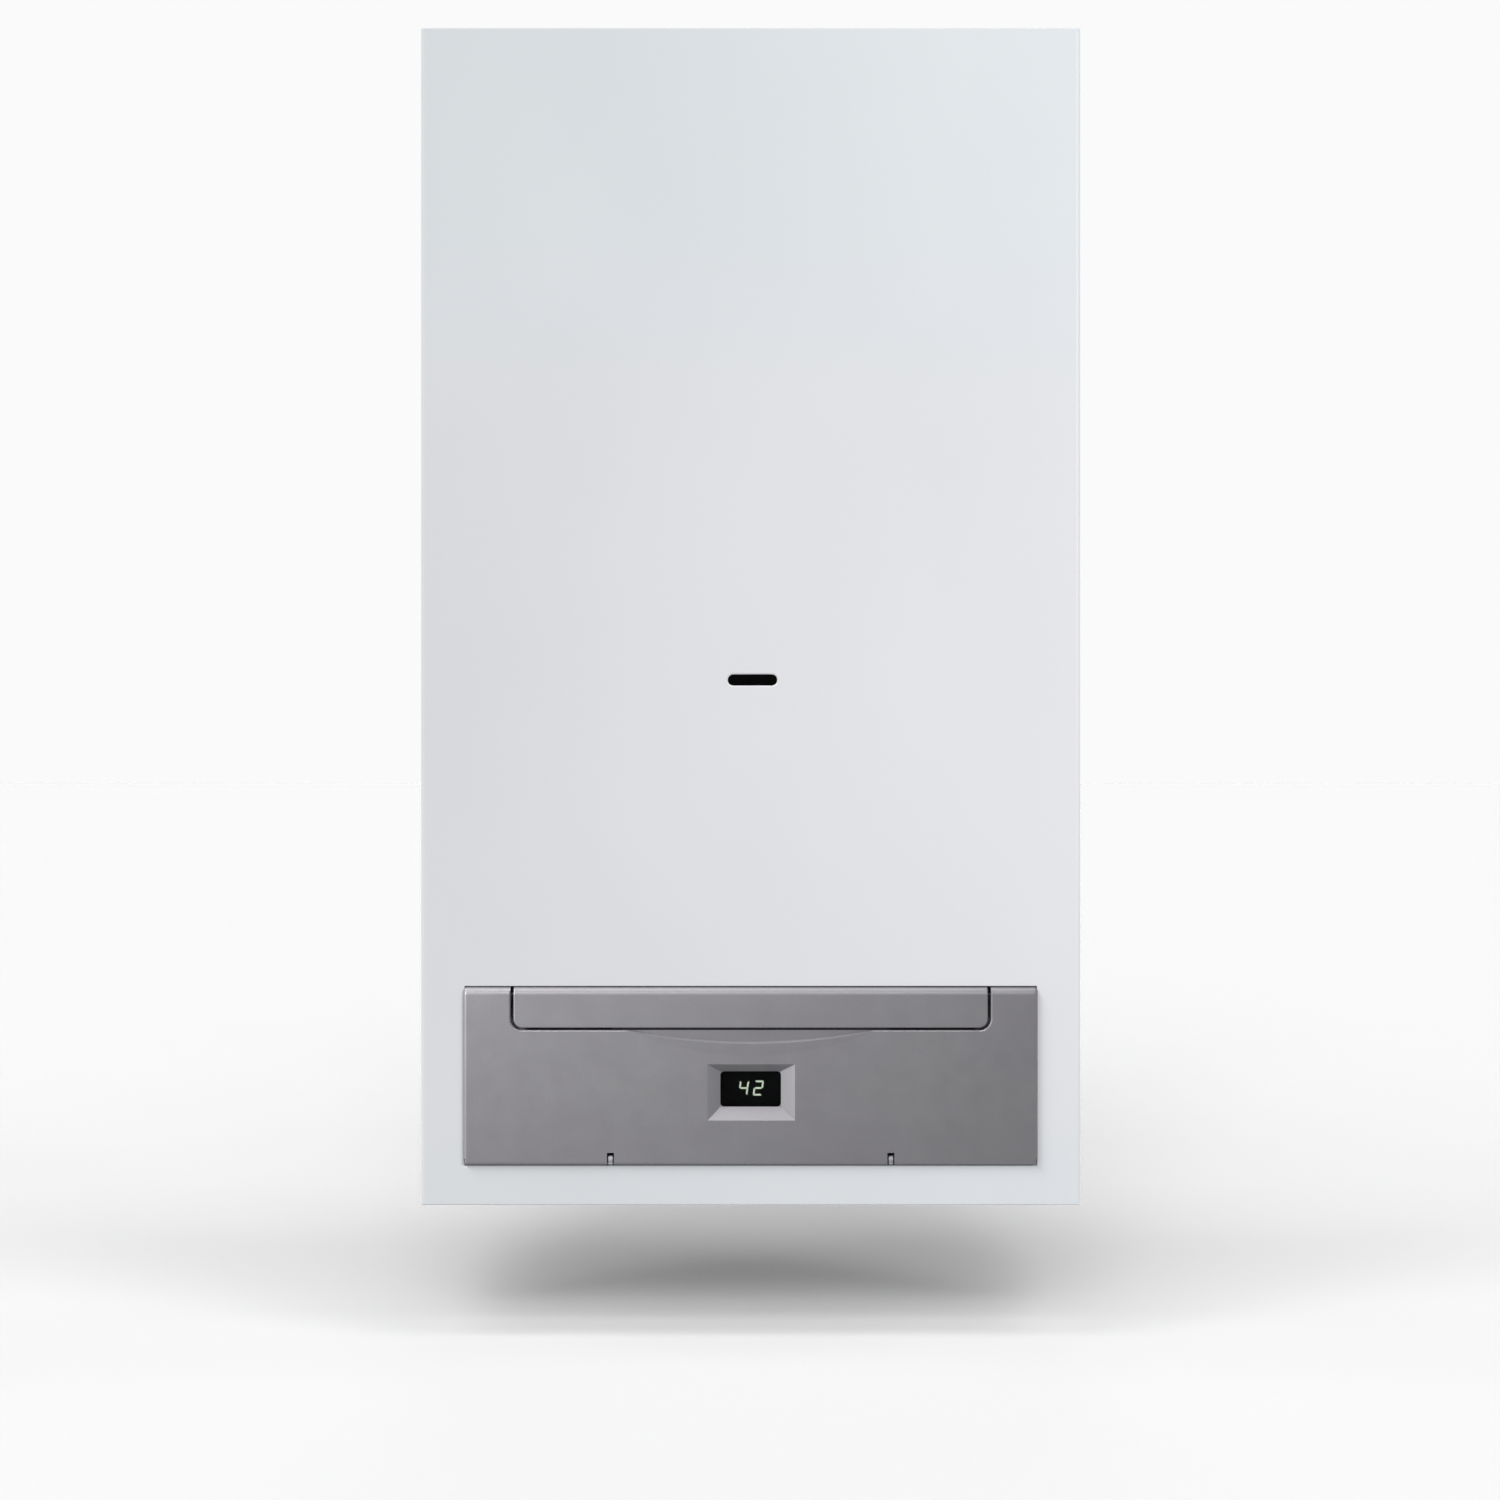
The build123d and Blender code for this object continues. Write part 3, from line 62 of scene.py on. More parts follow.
class Mat:
    """A small builder for node materials round one Principled shader."""

    def __init__(self, name):
        self.m = bpy.data.materials.new(name)
        self.m.use_nodes = True
        self.t = self.m.node_tree
        self.t.nodes.clear()
        self.out = self.t.nodes.new("ShaderNodeOutputMaterial")
        self.b = self.t.nodes.new("ShaderNodeBsdfPrincipled")
        self.t.links.new(self.b.outputs[0], self.out.inputs[0])
        self.coord = self.t.nodes.new("ShaderNodeTexCoord").outputs["Object"]
        self.heights = []

    def set(self, **values):
        names = {
            "color": "Base Color", "metallic": "Metallic", "rough": "Roughness", "ior": "IOR", "alpha": "Alpha",
            "specular": "Specular IOR Level", "coat": "Coat Weight", "coat_rough": "Coat Roughness",
            "transmission": "Transmission Weight", "sheen": "Sheen Weight", "sheen_rough": "Sheen Roughness",
            "emission": "Emission Color", "glow": "Emission Strength", "subsurface": "Subsurface Weight",
        }
        for k, v in values.items():
            s = self.b.inputs[names[k]]
            s.default_value = (*v, 1.0) if isinstance(v, tuple) and len(v) == 3 else v
        return self

    def node(self, kind, **props):
        n = self.t.nodes.new("ShaderNode" + kind)
        for k, v in props.items():
            setattr(n, k, v)
        return n

    def join(self, a, b):
        self.t.links.new(a, b)

    def scaled(self, x=1.0, y=1.0, z=1.0, turn=(0, 0, 0), shift=(0, 0, 0)):
        n = self.node("Mapping")
        n.inputs["Scale"].default_value = (x, y, z)
        n.inputs["Rotation"].default_value = turn
        n.inputs["Location"].default_value = shift
        self.join(self.coord, n.inputs["Vector"])
        return n.outputs[0]

    def noise(self, scale, detail=2.0, rough=0.5, warp=0.0, vector=None):
        n = self.node("TexNoise")
        n.inputs["Scale"].default_value = scale
        n.inputs["Detail"].default_value = detail
        n.inputs["Roughness"].default_value = rough
        n.inputs["Distortion"].default_value = warp
        self.join(vector or self.coord, n.inputs["Vector"])
        return n.outputs["Fac"]

    def cells(self, scale, feature="F1", out="Distance", vector=None, random=1.0):
        n = self.node("TexVoronoi", feature=feature)
        n.inputs["Scale"].default_value = scale
        n.inputs["Randomness"].default_value = random
        self.join(vector or self.coord, n.inputs["Vector"])
        return n.outputs[out]

    def span(self, value, a, b, lo, hi, clamp=True):
        n = self.node("MapRange", clamp=clamp)
        n.inputs[1].default_value = a
        n.inputs[2].default_value = b
        n.inputs[3].default_value = lo
        n.inputs[4].default_value = hi
        self.join(value, n.inputs[0])
        return n.outputs[0]

    def calc(self, op, a, b):
        n = self.node("Math", operation=op)
        for i, v in enumerate((a, b)):
            if isinstance(v, (int, float)):
                n.inputs[i].default_value = v
            else:
                self.join(v, n.inputs[i])
        return n.outputs[0]

    def ramp(self, value, *stops):
        n = self.node("ValToRGB")
        r = n.color_ramp
        while len(r.elements) < len(stops):
            r.elements.new(0.5)
        for e, (p, c) in zip(r.elements, stops):
            e.position = p
            e.color = (*c, 1.0)
        self.join(value, n.inputs[0])
        return n.outputs[0]

    def blend(self, value, a, b, mode="MIX"):
        n = self.node("Mix", data_type="RGBA", blend_type=mode)
        if isinstance(value, (int, float)):
            n.inputs[0].default_value = value
        else:
            self.join(value, n.inputs[0])
        for i, v in ((6, a), (7, b)):
            if isinstance(v, tuple):
                n.inputs[i].default_value = (*v, 1.0)
            else:
                self.join(v, n.inputs[i])
        return n.outputs[2]

    def color(self, value):
        self.join(value, self.b.inputs["Base Color"])
        return self

    def rough(self, value):
        self.join(value, self.b.inputs["Roughness"])
        return self

    def metal(self, value):
        self.join(value, self.b.inputs["Metallic"])
        return self

    def bump(self, value, distance, strength=1.0):
        """Adds a height in metres on top of any bump already there."""
        n = self.node("Bump")
        n.inputs["Strength"].default_value = strength
        n.inputs["Distance"].default_value = distance
        self.join(value, n.inputs["Height"])
        if self.heights:
            self.join(self.heights[-1], n.inputs["Normal"])
        self.heights.append(n.outputs[0])
        self.join(n.outputs[0], self.b.inputs["Normal"])
        return self

    def axis(self, which):
        n = self.node("SeparateXYZ")
        self.join(self.coord, n.inputs[0])
        return n.outputs[which]


def mul(c, k):
    return tuple(x * k for x in c)


def plastic(name, c, rough, grain=1500, depth=0.00003, spread=0.05, specular=0.5, **extra):
    """Moulded plastic: a fine spark-eroded grain, slow shade drift, and roughness that rises on the grain's high spots.
    """
    m = Mat(name).set(specular=specular, **extra)
    slow = m.noise(14, 3, 0.55)
    fine = m.noise(grain, 2, 0.6)
    both = m.calc("ADD", m.calc("MULTIPLY", slow, 0.6), m.calc("MULTIPLY", fine, 0.4))
    m.color(m.ramp(both, (0.25, mul(c, 1 - spread)), (0.75, mul(c, 1 + spread))))
    m.rough(m.span(fine, 0.3, 0.7, rough - 0.05, rough + 0.06))
    m.bump(fine, depth, 0.8)
    return m


def sheet_metal(name, c, rough, cell=70.0, contrast=0.10):
    """Coated sheet steel: crystal spangle, rolling lines and a dull film."""
    m = Mat(name).set(metallic=0.9, specular=0.5)
    warp = m.noise(30, 2, 0.5)
    tint = m.node("SeparateColor")
    m.join(m.cells(cell, out="Color"), tint.inputs[0])
    crystal = tint.outputs[0]
    lines = m.noise(1.0, 3, 0.6, vector=m.scaled(220, 220, 5))
    mix = m.calc("ADD", m.calc("MULTIPLY", crystal, 0.55), m.calc("ADD", m.calc("MULTIPLY", warp, 0.25), m.calc("MULTIPLY", lines, 0.20)))
    m.color(m.ramp(mix, (0.15, mul(c, 1 - contrast)), (0.5, c), (0.9, mul(c, 1 + contrast))))
    m.rough(m.span(mix, 0.2, 0.8, rough - 0.08, rough + 0.10))
    m.bump(lines, 0.00002, 0.5)
    return m


def cast_metal(name, c, rough, grain=900, depth=0.00008, metallic=1.0, dirt=0.25):
    m = Mat(name).set(metallic=metallic)
    big = m.noise(40, 4, 0.6)
    fine = m.noise(grain, 3, 0.6)
    m.color(m.ramp(big, (0.3, mul(c, 1 - dirt)), (0.6, c), (0.85, mul(c, 1.06))))
    m.rough(m.span(fine, 0.3, 0.7, rough - 0.06, rough + 0.08))
    m.bump(fine, depth, 0.7)
    return m


def turned_metal(name, c, rough, lines=1800.0, depth=0.00001):
    m = Mat(name).set(metallic=1.0)
    tool = m.noise(1.0, 2, 0.5, vector=m.scaled(60, 60, lines))
    stain = m.noise(55, 4, 0.6)
    m.color(m.ramp(stain, (0.3, mul(c, 0.80)), (0.55, c), (0.8, mul(c, 1.05))))
    m.rough(m.span(m.calc("ADD", m.calc("MULTIPLY", tool, 0.5), m.calc("MULTIPLY", stain, 0.5)), 0.35, 0.65, rough - 0.07, rough + 0.10))
    m.bump(tool, depth, 0.6)
    return m


def enamel():
    """White powder coat on steel: faint orange peel, a slow random drift in its bluish white, dust specks, and a
    painted light tint by height, greener and a little darker at top and bottom, lavender white in the middle.
    """
    m = Mat("white_powder_coat").set(specular=0.42)
    slow = m.noise(4.5, 3, 0.5, vector=m.scaled(1.0, 1.0, 0.7))
    fine = m.noise(420, 2, 0.5)
    high = m.axis(2)
    height_for_painted_tint = m.span(high, -0.664, 0.05, 0.0, 1.0)
    tone = m.ramp(slow, (0.30, (0.755, 0.765, 0.785)), (0.70, (0.790, 0.797, 0.815)))
    # painted light: a tint by height, greener and a touch darker at the top and bottom, lavender and brighter in the
    # middle, standing in for how the studio light falls on the front
    painted_light_tint = m.ramp(height_for_painted_tint, (0.0, (0.966, 0.992, 1.0)), (0.09, (0.998, 0.992, 1.0)), (0.64, (1.0, 0.990, 1.0)), (0.82, (0.964, 0.992, 1.0)))
    base = m.blend(1.0, tone, painted_light_tint, "MULTIPLY")
    speck = m.span(m.cells(260), 0.045, 0.09, 0.955, 1.0)
    grey = m.node("CombineColor")
    for i in range(3):
        m.join(speck, grey.inputs[i])
    m.color(m.blend(1.0, base, grey.outputs[0], "MULTIPLY"))
    m.rough(m.span(m.calc("ADD", m.calc("MULTIPLY", slow, 0.5), m.calc("MULTIPLY", fine, 0.5)), 0.3, 0.7, 0.34, 0.44))
    m.bump(m.noise(520, 2, 0.45), 0.00006, 0.55)
    m.bump(m.noise(7, 2, 0.5), 0.0006, 0.10)
    return m


def panel_paint():
    """Silver-grey paint on a moulded door: metallic flake, slow warm and cool drift, fine grain, a few rubbed spots."""
    m = Mat("silver_grey_paint").set(metallic=0.42, specular=0.5)
    slow = m.noise(9, 3, 0.5)
    flake = m.node("SeparateColor")
    m.join(m.cells(2600, out="Color"), flake.inputs[0])
    fine = m.noise(1900, 2, 0.6)
    tone = m.ramp(slow, (0.30, (0.287, 0.276, 0.296)), (0.70, (0.303, 0.296, 0.312)))
    glint = m.span(flake.outputs[0], 0.0, 1.0, 0.965, 1.035)
    grey = m.node("CombineColor")
    for i in range(3):
        m.join(glint, grey.inputs[i])
    m.color(m.blend(1.0, tone, grey.outputs[0], "MULTIPLY"))
    rub = m.noise(70, 4, 0.65)
    m.rough(m.span(m.calc("ADD", m.calc("MULTIPLY", rub, 0.6), m.calc("MULTIPLY", fine, 0.4)), 0.3, 0.7, 0.36, 0.47))
    m.bump(fine, 0.00001, 0.4)
    return m


def copper():
    m = Mat("copper").set(metallic=1.0)
    stain = m.noise(28, 5, 0.62, 0.6)
    draw = m.noise(1.0, 2, 0.5, vector=m.scaled(700, 700, 12))
    m.color(m.ramp(stain, (0.28, (0.33, 0.135, 0.075)), (0.50, (0.60, 0.265, 0.155)), (0.78, (0.74, 0.37, 0.23))))
    m.rough(m.span(stain, 0.3, 0.7, 0.42, 0.24))
    m.bump(draw, 0.00001, 0.5)
    return m


def board():
    """Circuit board: green resist with copper tracks showing through, and darker patches of resist."""
    m = Mat("circuit_board").set(specular=0.5)
    track = m.span(m.cells(220, "DISTANCE_TO_EDGE", random=0.65), 0.03, 0.06, 1.0, 0.0)
    base = m.blend(track, (0.012, 0.10, 0.035), (0.03, 0.17, 0.06))
    m.color(m.blend(m.span(m.noise(600), 0.45, 0.6, 0.0, 0.3), base, (0.02, 0.07, 0.03)))
    m.rough(m.span(m.noise(300), 0.3, 0.7, 0.3, 0.5))
    m.bump(track, 0.00005, 0.8)
    return m


def braid():
    """Braided steel hose: two crossing sets of wires, with painted shade in the dips between them."""
    m = Mat("braided_steel").set(metallic=1.0)
    waves = []
    for turn in (0.75, -0.75):
        w = m.node("TexWave", wave_type="BANDS", bands_direction="X", wave_profile="SIN")
        w.inputs["Scale"].default_value = 420
        w.inputs["Distortion"].default_value = 0.4
        m.join(m.scaled(turn=(turn, turn, turn)), w.inputs["Vector"])
        waves.append(w.outputs["Fac"])
    weave = m.calc("MAXIMUM", *waves)
    # painted shade: the wire colour darkens towards the dips between the wires
    m.color(m.ramp(weave, (0.2, (0.16, 0.16, 0.165)), (0.8, (0.62, 0.62, 0.63))))
    m.rough(m.span(weave, 0.2, 0.8, 0.5, 0.3))
    m.bump(weave, 0.0004, 0.8)
    return m


def fibre_board():
    m = Mat("ceramic_fibre_board").set(specular=0.2)
    fluff = m.noise(500, 5, 0.7, 1.0)
    scorch = m.noise(18, 3, 0.5)
    c = m.ramp(scorch, (0.35, (0.55, 0.49, 0.40)), (0.65, (0.80, 0.77, 0.70)))
    m.color(m.blend(m.span(fluff, 0.4, 0.6, 0.0, 0.35), c, (0.62, 0.58, 0.50)))
    m.set(rough=0.95).bump(fluff, 0.0003, 0.8)
    return m


def gloss_paint(name, c, rough=0.3, drift=0.08):
    m = Mat(name).set(coat=0.3, coat_rough=0.12, specular=0.5)
    slow = m.noise(16, 3, 0.55)
    peel = m.noise(260, 2, 0.5)
    chip = m.span(m.noise(45, 5, 0.7), 0.70, 0.73, 0.0, 1.0)
    tone = m.ramp(slow, (0.3, mul(c, 1 - drift)), (0.7, mul(c, 1 + drift)))
    m.color(m.blend(chip, tone, mul(c, 0.6)))
    m.rough(m.span(peel, 0.3, 0.7, rough - 0.04, rough + 0.08))
    m.bump(peel, 0.00008, 0.5)
    return m


def glass(name, c, rough=0.02, ior=1.49, grime=0.04):
    m = Mat(name).set(transmission=1.0, ior=ior)
    smear = m.noise(60, 4, 0.6)
    m.color(m.ramp(smear, (0.3, mul(c, 0.94)), (0.7, c)))
    m.rough(m.span(smear, 0.4, 0.75, rough, rough + grime))
    return m


def lit():
    m = Mat("lit_segments").set(specular=0.3, rough=0.4, color=(0.55, 0.60, 0.48))
    even = m.noise(900, 2, 0.5)
    m.join(m.ramp(even, (0.3, (0.66, 0.76, 0.55)), (0.7, (0.74, 0.84, 0.63))), m.b.inputs["Emission Color"])
    m.set(glow=2.1)
    return m


def rubber():
    m = Mat("black_elastomer").set(specular=0.3)
    bloom = m.noise(90, 4, 0.6)
    m.color(m.ramp(bloom, (0.35, (0.018, 0.018, 0.018)), (0.75, (0.05, 0.05, 0.048))))
    m.rough(m.span(bloom, 0.3, 0.7, 0.62, 0.8))
    m.bump(m.noise(1200), 0.00004, 0.6)
    return m


SLOTS = {
    "white_enamel": enamel(),
    "silver_grey_plastic": panel_paint(),
    "grey_plastic": plastic("light_grey_moulding", (0.345, 0.343, 0.358), 0.50, 1300, 0.00004),
    "dark_plastic": plastic("dark_moulding", (0.045, 0.045, 0.050), 0.48, 1100, 0.00005, 0.12),
    "black_plastic": plastic("black_moulding", (0.012, 0.012, 0.013), 0.42, 1200, 0.00003, 0.15),
    "knob_plastic": plastic("knob_moulding", (0.070, 0.070, 0.076), 0.44, 1700, 0.00003, 0.10),
    "red_plastic": plastic("red_moulding", (0.42, 0.022, 0.016), 0.40, 1500, 0.00003, 0.07),
    "blue_plastic": plastic("blue_moulding", (0.018, 0.060, 0.30), 0.40, 1500, 0.00003, 0.07),
    "white_plastic": plastic("white_acetal", (0.70, 0.70, 0.68), 0.35, 1500, 0.00002, 0.03),
    "galvanised_sheet": sheet_metal("galvanised_sheet", (0.50, 0.515, 0.53), 0.42, 85, 0.16),
    "aluminised_steel": sheet_metal("aluminised_sheet", (0.46, 0.46, 0.455), 0.50, 240, 0.07),
    "zinc_screws": turned_metal("zinc_plate", (0.62, 0.61, 0.56), 0.34),
    "steel_pins": turned_metal("blackened_steel", (0.085, 0.085, 0.090), 0.36),
    "stainless": turned_metal("stainless_plate", (0.56, 0.56, 0.565), 0.28, 900),
    "brass": cast_metal("hot_pressed_brass", (0.58, 0.42, 0.17), 0.36, 700, 0.00005),
    "aluminium_cast": cast_metal("die_cast_aluminium", (0.55, 0.555, 0.565), 0.46, 800, 0.00010),
    "copper": copper(),
    "smoked_window": glass("smoked_window", (0.40, 0.42, 0.43), 0.03),
    "clear_lens": glass("clear_lens", (0.97, 0.985, 0.98), 0.02),
    "lit_digits": lit(),
    "circuit_board": board(),
    "needle_paint": gloss_paint("needle_red", (0.50, 0.020, 0.012), 0.35),
    "seal_rubber": rubber(),
    "ceramic_board": fibre_board(),
    "electrode_ceramic": gloss_paint("glazed_ceramic", (0.78, 0.76, 0.70), 0.25, 0.04),
    "red_paint": gloss_paint("vessel_red", (0.42, 0.020, 0.014), 0.34, 0.10),
    "braided_hose": braid(),
    "pump_paint": gloss_paint("pump_blue_grey", (0.055, 0.075, 0.10), 0.40, 0.10),
}

for part in frame["record"]["subparts"]:
    o = NODES[part["node"]]
    o.data.materials.clear()
    o.data.materials.append(SLOTS[part["material_slot"]].m)

# ------------------------------------------------------- printed scales etc.


class Plate:
    """Collects thin raised prints on the plane y = front, in drawing mm, into one mesh."""

    def __init__(self, front, thick=0.10):
        self.front, self.back = front, front + thick
        self.bm = bmesh.new()

    def prism(self, outline):
        """outline: (x, z) points, anticlockwise as seen from the front."""
        f = [self.bm.verts.new(at(x, self.front, z)) for x, z in outline]
        b = [self.bm.verts.new(at(x, self.back, z)) for x, z in outline]
        self.bm.faces.new(f)
        self.bm.faces.new(b[::-1])
        n = len(f)
        for i in range(n):
            j = (i + 1) % n
            self.bm.faces.new((f[j], f[i], b[i], b[j]))

    def ring(self, cx, cz, r0, r1, a0=0.0, a1=360.0, r0_end=None, r1_end=None, steps=None):
        """A flat ring or arc. Angles are clockwise from straight up."""
        steps = steps or max(8, int(abs(a1 - a0) / 4))
        closed = abs(a1 - a0) >= 359.9
        rows = []
        for i in range(steps + (0 if closed else 1)):
            t = i / steps
            a = math.radians(a0 + (a1 - a0) * t)
            ri = r0 + ((r0_end if r0_end is not None else r0) - r0) * t
            ro = r1 + ((r1_end if r1_end is not None else r1) - r1) * t
            s, c = math.sin(a), math.cos(a)
            rows.append([
                self.bm.verts.new(at(cx + r * s, y, cz + r * c))
                for r, y in ((ri, self.front), (ro, self.front), (ro, self.back), (ri, self.back))
            ])
        n = len(rows)
        for i in range(n if closed else n - 1):
            p, q = rows[i], rows[(i + 1) % n]
            for k in range(4):
                m = (k + 1) % 4
                self.bm.faces.new((p[k], p[m], q[m], q[k]))
        if not closed:
            self.bm.faces.new(rows[0][::-1])
            self.bm.faces.new(rows[-1])

    def disc(self, cx, cz, r, steps=48):
        self.prism([(cx + r * math.sin(-2 * math.pi * i / steps), cz + r * math.cos(-2 * math.pi * i / steps)) for i in range(steps)])

    def tick(self, cx, cz, r0, r1, angle, width):
        a = math.radians(angle)
        s, c = math.sin(a), math.cos(a)
        h = width / 2
        self.prism([
            (cx + r * s + k * h * c, cz + r * c - k * h * s)
            for r, k in ((r0, -1), (r0, 1), (r1, 1), (r1, -1))
        ])

    def box(self, x0, z0, x1, z1):
        self.prism([(x0, z0), (x1, z0), (x1, z1), (x0, z1)])

    def number(self, text, cx, cz, height):
        """A plain numeral centred on (cx, cz)."""
        curve = bpy.data.curves.new("numeral", "FONT")
        curve.body = text
        curve.size = height / 1000 / 0.70
        curve.align_x, curve.align_y = "CENTER", "CENTER"
        curve.extrude = (self.back - self.front) / 2000
        curve.resolution_u = 6
        o = bpy.data.objects.new("numeral", curve)
        bpy.context.scene.collection.objects.link(o)
        mesh = bpy.data.meshes.new_from_object(o.evaluated_get(bpy.context.evaluated_depsgraph_get()))
        place = Matrix.Translation(at(cx, (self.front + self.back) / 2, cz)) @ Matrix.Rotation(math.pi / 2, 4, "X")
        mesh.transform(place)
        self.bm.from_mesh(mesh)
        bpy.data.meshes.remove(mesh)
        bpy.data.objects.remove(o)
        bpy.data.curves.remove(curve)

    def finish(self, name, body, material):
        bmesh.ops.remove_doubles(self.bm, verts=self.bm.verts, dist=1e-7)
        bmesh.ops.recalc_face_normals(self.bm, faces=self.bm.faces)
        mesh = bpy.data.meshes.new(name)
        self.bm.to_mesh(mesh)
        self.bm.free()
        o = bpy.data.objects.new(name, mesh)
        bpy.context.scene.collection.objects.link(o)
        mesh.materials.append(material)
        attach(o, body)
        return o


def ink(name, c):
    """Pad-printed ink: slightly uneven coverage."""
    m = Mat(name).set(specular=0.35)
    cover = m.noise(700, 4, 0.65)
    m.color(m.ramp(cover, (0.30, mul(c, 0.80)), (0.55, c), (0.80, mul(c, 1.08))))
    m.rough(m.span(cover, 0.3, 0.7, 0.5, 0.66))
    m.bump(cover, 0.00001, 0.5)
    return m


WHITE_INK, BLACK_INK = ink("white_ink", (0.80, 0.80, 0.80)), ink("black_ink", (0.020, 0.020, 0.022))
GREEN_INK, RED_INK = ink("green_ink", (0.06, 0.34, 0.09)), ink("red_ink", (0.50, 0.03, 0.02))

KNOB_Z = 76.0
face = Plate(-288.07, 0.10)
for kx in (-128.0, -76.0):
    # temperature scale: a crescent that swells towards hot, with end ticks and plain numbers
    face.ring(kx, KNOB_Z, 21.7, 22.0, -135, 135, 21.7, 24.3, 72)
    for i in range(6):
        face.tick(kx, KNOB_Z, 21.0, 21.6, -135 + 54 * i, 0.5)
    face.number("1", kx - 19.2, KNOB_Z - 19.2, 3.0)
    face.number("6", kx + 19.2, KNOB_Z - 19.2, 3.0)
for i, a in enumerate((-60, 0, 60)):
    face.tick(82.0, KNOB_Z, 21.4, 23.2, a, 0.7)
    s, c = math.sin(math.radians(a)), math.cos(math.radians(a))
    face.number(str(i), 82.0 + 26.0 * s, KNOB_Z + 26.0 * c, 3.2)
face.ring(47.0, 62.0, 6.9, 7.3)
# pictograms: a radiator over the heating knob, a drop over the hot-water knob
for i in range(5):
    face.box(-132.6 + 2.1 * i, 107.5, -131.4 + 2.1 * i, 114.5)
face.box(-133.4, 108.6, -122.0, 109.3)
face.box(-133.4, 112.7, -122.0, 113.4)
drop = [(0.0, 115.2)]
for i in range(25):
    a = math.radians(-50 - 260 * i / 24 + 180 - 180)
    drop.append((2.6 * math.sin(a), 109.6 + 2.6 * math.cos(a)))
face.prism([(-76 + x, z) for x, z in drop])
face.finish("dial_print", "casing", BLACK_INK.m)

# the gauge's own face, its scale, and the coloured bands
GX, GZ = 136.0, 76.0
dial = Plate(-288.92, 0.10)
dial.ring(GX, GZ, 1.4, 19.3)
dial.finish("gauge_dial", "casing", ink("dial_white", (0.78, 0.78, 0.76)).m)
marks = Plate(-289.00, 0.07)
for i in range(21):
    big = i % 5 == 0
    marks.tick(GX, GZ, 14.0 if big else 15.6, 17.4, -135 + 13.5 * i, 0.55 if big else 0.28)
for i in range(5):
    a = math.radians(-135 + 67.5 * i)
    marks.number(str(i), GX + 10.9 * math.sin(a), GZ + 10.9 * math.cos(a), 3.4)
marks.finish("gauge_scale", "casing", BLACK_INK.m)
band = Plate(-289.00, 0.07)
band.ring(GX, GZ, 17.7, 18.7, -67.5, 0)
band.finish("gauge_normal_band", "casing", GREEN_INK.m)
band = Plate(-289.00, 0.07)
band.ring(GX, GZ, 17.7, 18.7, 67.5, 135)
band.finish("gauge_high_band", "casing", RED_INK.m)

# ------------------------------------------------------------------- stage

FLOOR = -0.664 - 0.085
floor_mesh = bpy.data.meshes.new("floor")
bm = bmesh.new()
bmesh.ops.create_grid(bm, x_segments=8, y_segments=8, size=60.0)
bm.to_mesh(floor_mesh)
bm.free()
floor = bpy.data.objects.new("floor", floor_mesh)
floor.location = (0, 0, FLOOR)
bpy.context.scene.collection.objects.link(floor)
floor_mat = Mat("pale_floor").set(rough=0.9, specular=0.0)
floor_mat.color(floor_mat.ramp(floor_mat.noise(2.0, 2, 0.5), (0.3, (0.198, 0.198, 0.198)), (0.7, (0.199, 0.199, 0.199))))
floor_mesh.materials.append(floor_mat.m)
floor.visible_diffuse = floor.visible_glossy = floor.visible_transmission = False
floor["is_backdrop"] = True

# The surroundings: what the camera sees is plain near-white; what lights the object is softer,
# brighter above than below, and dark round the camera's place, as in a real studio.
world = bpy.data.worlds.new("studio")
bpy.context.scene.world = world
world.use_nodes = True
wt = world.node_tree
wt.nodes.clear()


def wn(kind, **props):
    n = wt.nodes.new("ShaderNode" + kind)
    for k, v in props.items():
        setattr(n, k, v)
    return n


def wmap(value, a, b, lo, hi, smooth=False):
    n = wn("MapRange", interpolation_type="SMOOTHSTEP" if smooth else "LINEAR")
    for i, v in enumerate((a, b, lo, hi)):
        n.inputs[i + 1].default_value = v
    wt.links.new(value, n.inputs[0])
    return n.outputs[0]


def wdot(direction):
    n = wn("VectorMath", operation="DOT_PRODUCT")
    wt.links.new(sky_coord, n.inputs[0])
    n.inputs[1].default_value = Vector(direction).normalized()
    return n.outputs["Value"]


def wmath(op, a, b):
    n = wn("Math", operation=op)
    for i, v in enumerate((a, b)):
        if isinstance(v, (int, float)):
            n.inputs[i].default_value = v
        else:
            wt.links.new(v, n.inputs[i])
    return n.outputs[0]


sky_coord = wn("TexCoord").outputs["Generated"]
below = wmap(wdot((0, 0, 1)), -1.0, 1.0, 0.28, 0.0)
across = wdot((1, 0, 0))
sides = wmath("MULTIPLY", wmath("MULTIPLY", across, across), 0.32)
dark = wmap(wdot((0, -1, 0)), math.cos(math.radians(34)), math.cos(math.radians(14)), 1.0, 0.08, True)
level = wmath("MULTIPLY", wmath("ADD", wmath("ADD", below, sides), 0.30), dark)
soft = wn("Background")
soft.inputs["Color"].default_value = (0.985, 0.995, 1.0, 1.0)
wt.links.new(level, soft.inputs["Strength"])
seen = wn("Background")
seen.inputs["Color"].default_value = (0.956, 0.956, 0.956, 1.0)
seen.inputs["Strength"].default_value = 1.0
pick = wn("MixShader")
wt.links.new(wn("LightPath").outputs["Is Camera Ray"], pick.inputs[0])
wt.links.new(soft.outputs[0], pick.inputs[1])
wt.links.new(seen.outputs[0], pick.inputs[2])
wt.links.new(pick.outputs[0], wn("OutputWorld").inputs[0])

# Groups of receivers, so that the floor, the white casing and the grey door each get their own soft light.
on_casing = bpy.data.collections.new("lit_casing")
on_door = bpy.data.collections.new("lit_door")
on_floor = bpy.data.collections.new("lit_floor")
on_floor.objects.link(floor)
DOOR_SIDE = ("control_door", "door_handle", "control_fascia", "hinge_pins", "display_window", "display_module")
door_side = [NODES[n] for n in DOOR_SIDE]
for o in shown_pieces():
    (on_door if o in door_side else on_casing).objects.link(o)


